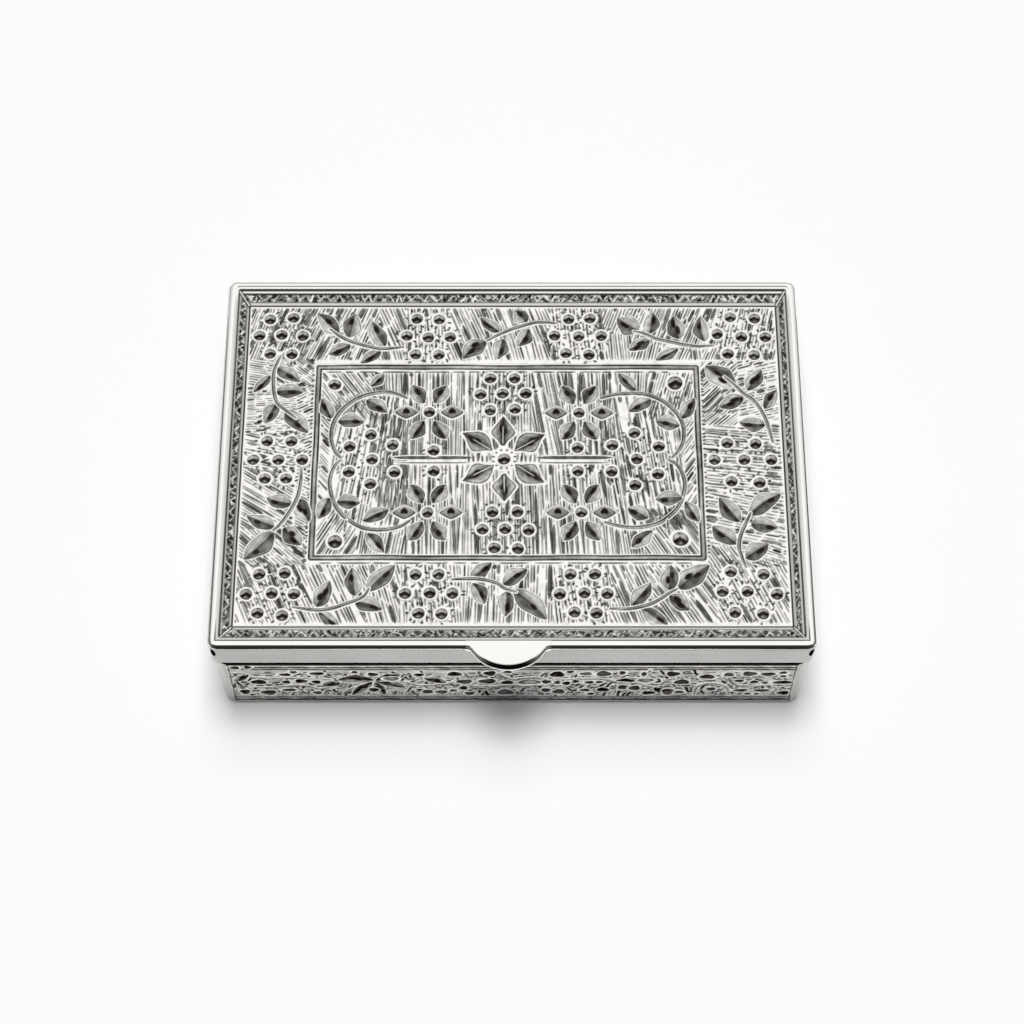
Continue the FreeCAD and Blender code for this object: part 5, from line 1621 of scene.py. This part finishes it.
def make_floor():
    """A white matt floor that glows faintly where it is seen directly."""
    shading = new_material("floor_white")
    diffuse = shading.add("BsdfDiffuse", {"Color": (0.93, 0.93, 0.93, 1)})["BSDF"]
    strength = shading.maths("MULTIPLY", shading.seen_directly(), FLOOR_GLOW)
    glow = shading.add("Emission", {"Color": WHITE, "Strength": strength})["Emission"]
    shading.end_with(shading.add("AddShader", {0: diffuse, 1: glow})["Shader"])
    mesh = bpy.data.meshes.new("floor")
    corners = [(x * FLOOR_REACH, y * FLOOR_REACH, 0) for x, y in ((-1, -1), (1, -1), (1, 1), (-1, 1))]
    mesh.from_pydata(corners, [], [(0, 1, 2, 3)])
    mesh.materials.append(shading.owner)
    square = new_object("floor", mesh)


def make_world():
    """A white world that lights the box only faintly."""
    world = bpy.data.worlds.new("studio")
    bpy.context.scene.world = world
    shading = Shading(world, "Background")
    shading.give("Color", WHITE)
    shading.give("Strength", shading.ramp(shading.seen_directly(), WORLD_LIGHT, 1.0))


def make_lamp(name, place, width, depth, strength):
    lamp = bpy.data.lights.new(name, "AREA")
    lamp.shape = "RECTANGLE"
    lamp.size = width
    lamp.size_y = depth
    lamp.energy = strength
    item = new_object(name, lamp)
    item.location = place
    item.rotation_mode = "QUATERNION"
    item.rotation_quaternion = (-Vector(place)).to_track_quat("-Z", "Y")
    item.visible_glossy = False


def make_card(name, inner, outer, first, last, shade):
    """A curved card round the box, of one even shade, which only the metal sees. inner and outer are its
    edges as pairs of radius and height, and first and last are directions in degrees, with 0 in front of
    the box."""
    steps = max(8, round((last - first) / CARD_STEP))
    corners = []
    for radius, height in (inner, outer):
        for count in range(steps + 1):
            turn = math.radians(first + (last - first) * count / steps)
            corners.append((radius * math.sin(turn), -radius * math.cos(turn), height))
    faces = [(n, n + 1, n + steps + 2, n + steps + 1) for n in range(steps)]
    shading = new_material(name)
    shading.end_with(shading.add("Emission", {"Color": (shade, shade, shade, 1)})["Emission"])
    mesh = bpy.data.meshes.new(name)
    mesh.from_pydata(corners, [], faces)
    mesh.materials.append(shading.owner)
    card = new_object(name, mesh)
    for kind in ("camera", "diffuse", "shadow", "transmission", "volume_scatter"):
        setattr(card, f"visible_{kind}", False)


def upright_card(name, radius, low, high, first, last, shade):
    """A card between two angles above the floor, in degrees."""
    edges = [(radius, max(LEAST_HEIGHT, radius * math.tan(math.radians(angle)))) for angle in (low, high)]
    make_card(name, *edges, first, last, shade)


def floor_card(name, radius, height, first, last, shade):
    """A card that lies on the floor, from a radius outwards."""
    make_card(name, (radius, height), (FLOOR_CARD_REACH, height), first, last, shade)


make_floor()
make_world()
# The narrow lamp makes the dark core of the floor's shadow, and the wide one its pale edge
make_lamp("narrow_overhead", (0.0, 0.175, 4.0), 1.2, 1.4, 84.8)
make_lamp("wide_overhead", (0.0, 0.1, 4.0), 1.6, 4.6, 88.7)
# In front the room gets darker up to the height of the camera, and the floor beyond the box's foot is dark
upright_card("front_low_card", 3.0, 0.0, 26.0, -25, 25, 0.10)
for side, first in (("left", -58.0), ("right", 25.0)):
    upright_card(f"front_{side}_card", 3.0, 0.0, 26.0, first, first + CORNER_SPAN, 0.30)
upright_card("front_middle_card", 3.1, 26.0, 44.0, -58, 58, 0.11)
upright_card("front_high_card", 3.2, 44.0, 60.0, -58, 58, 0.04)
floor_card("front_floor_card", 0.115, FRONT_CARD_HEIGHT, -40, 40, 0.02)
# At the sides and at the back it gets lighter with height
for side, first in (("left", -122.0), ("right", 58.0)):
    for level, radius, low, high, shade in (
        ("foot", 2.9, 0.0, 17.0, 0.17),
        ("low", 3.0, 17.0, 24.0, 0.10),
        ("middle", 3.1, 24.0, 38.0, 0.22),
        ("high", 3.2, 38.0, 52.0, 0.55),
    ):
        upright_card(f"{side}_{level}_card", radius, low, high, first, first + SIDE_SPAN, shade)
    floor_card(f"{side}_floor_card", 0.24, FLOOR_CARD_HEIGHT, first, first + SIDE_SPAN, 0.10)
for side, first in (("left", -58.0), ("right", 40.0)):
    floor_card(f"{side}_front_floor_card", 0.14, FLOOR_CARD_HEIGHT, first, first + 18.0, 0.10)
for side, first in (("left", 205.0), ("right", 122.0)):
    upright_card(f"{side}_corner_card", 3.4, 48.0, 58.0, first, first + CORNER_SPAN, 0.85)
upright_card("back_low_card", 3.3, 2.0, 28.0, 122, 238, 0.40)
upright_card("back_high_card", 3.3, 28.0, 48.0, 122, 238, 0.78)

# The camera stands in front of the box and looks down on it
CAMERA_PLACE = (0.0, -0.3289, 0.6123)
CAMERA_PITCH = 61.515
CAMERA_LENS = 91.57
IMAGE_SIZE = 1024
MIDDLE_SHIFT_PIXELS = 0.3

camera_data = bpy.data.cameras.new("camera")
camera_data.lens = CAMERA_LENS
camera_data.sensor_width = 36.0
camera_data.shift_x = -MIDDLE_SHIFT_PIXELS / IMAGE_SIZE
camera_data.clip_start = 0.01
camera_data.clip_end = 50.0
camera = bpy.data.objects.new("camera", camera_data)
camera.location = CAMERA_PLACE
camera.rotation_euler = (math.radians(90 - CAMERA_PITCH), 0.0, 0.0)
bpy.context.scene.collection.objects.link(camera)
bpy.context.scene.camera = camera
bpy.context.scene.view_settings.view_transform = "Standard"
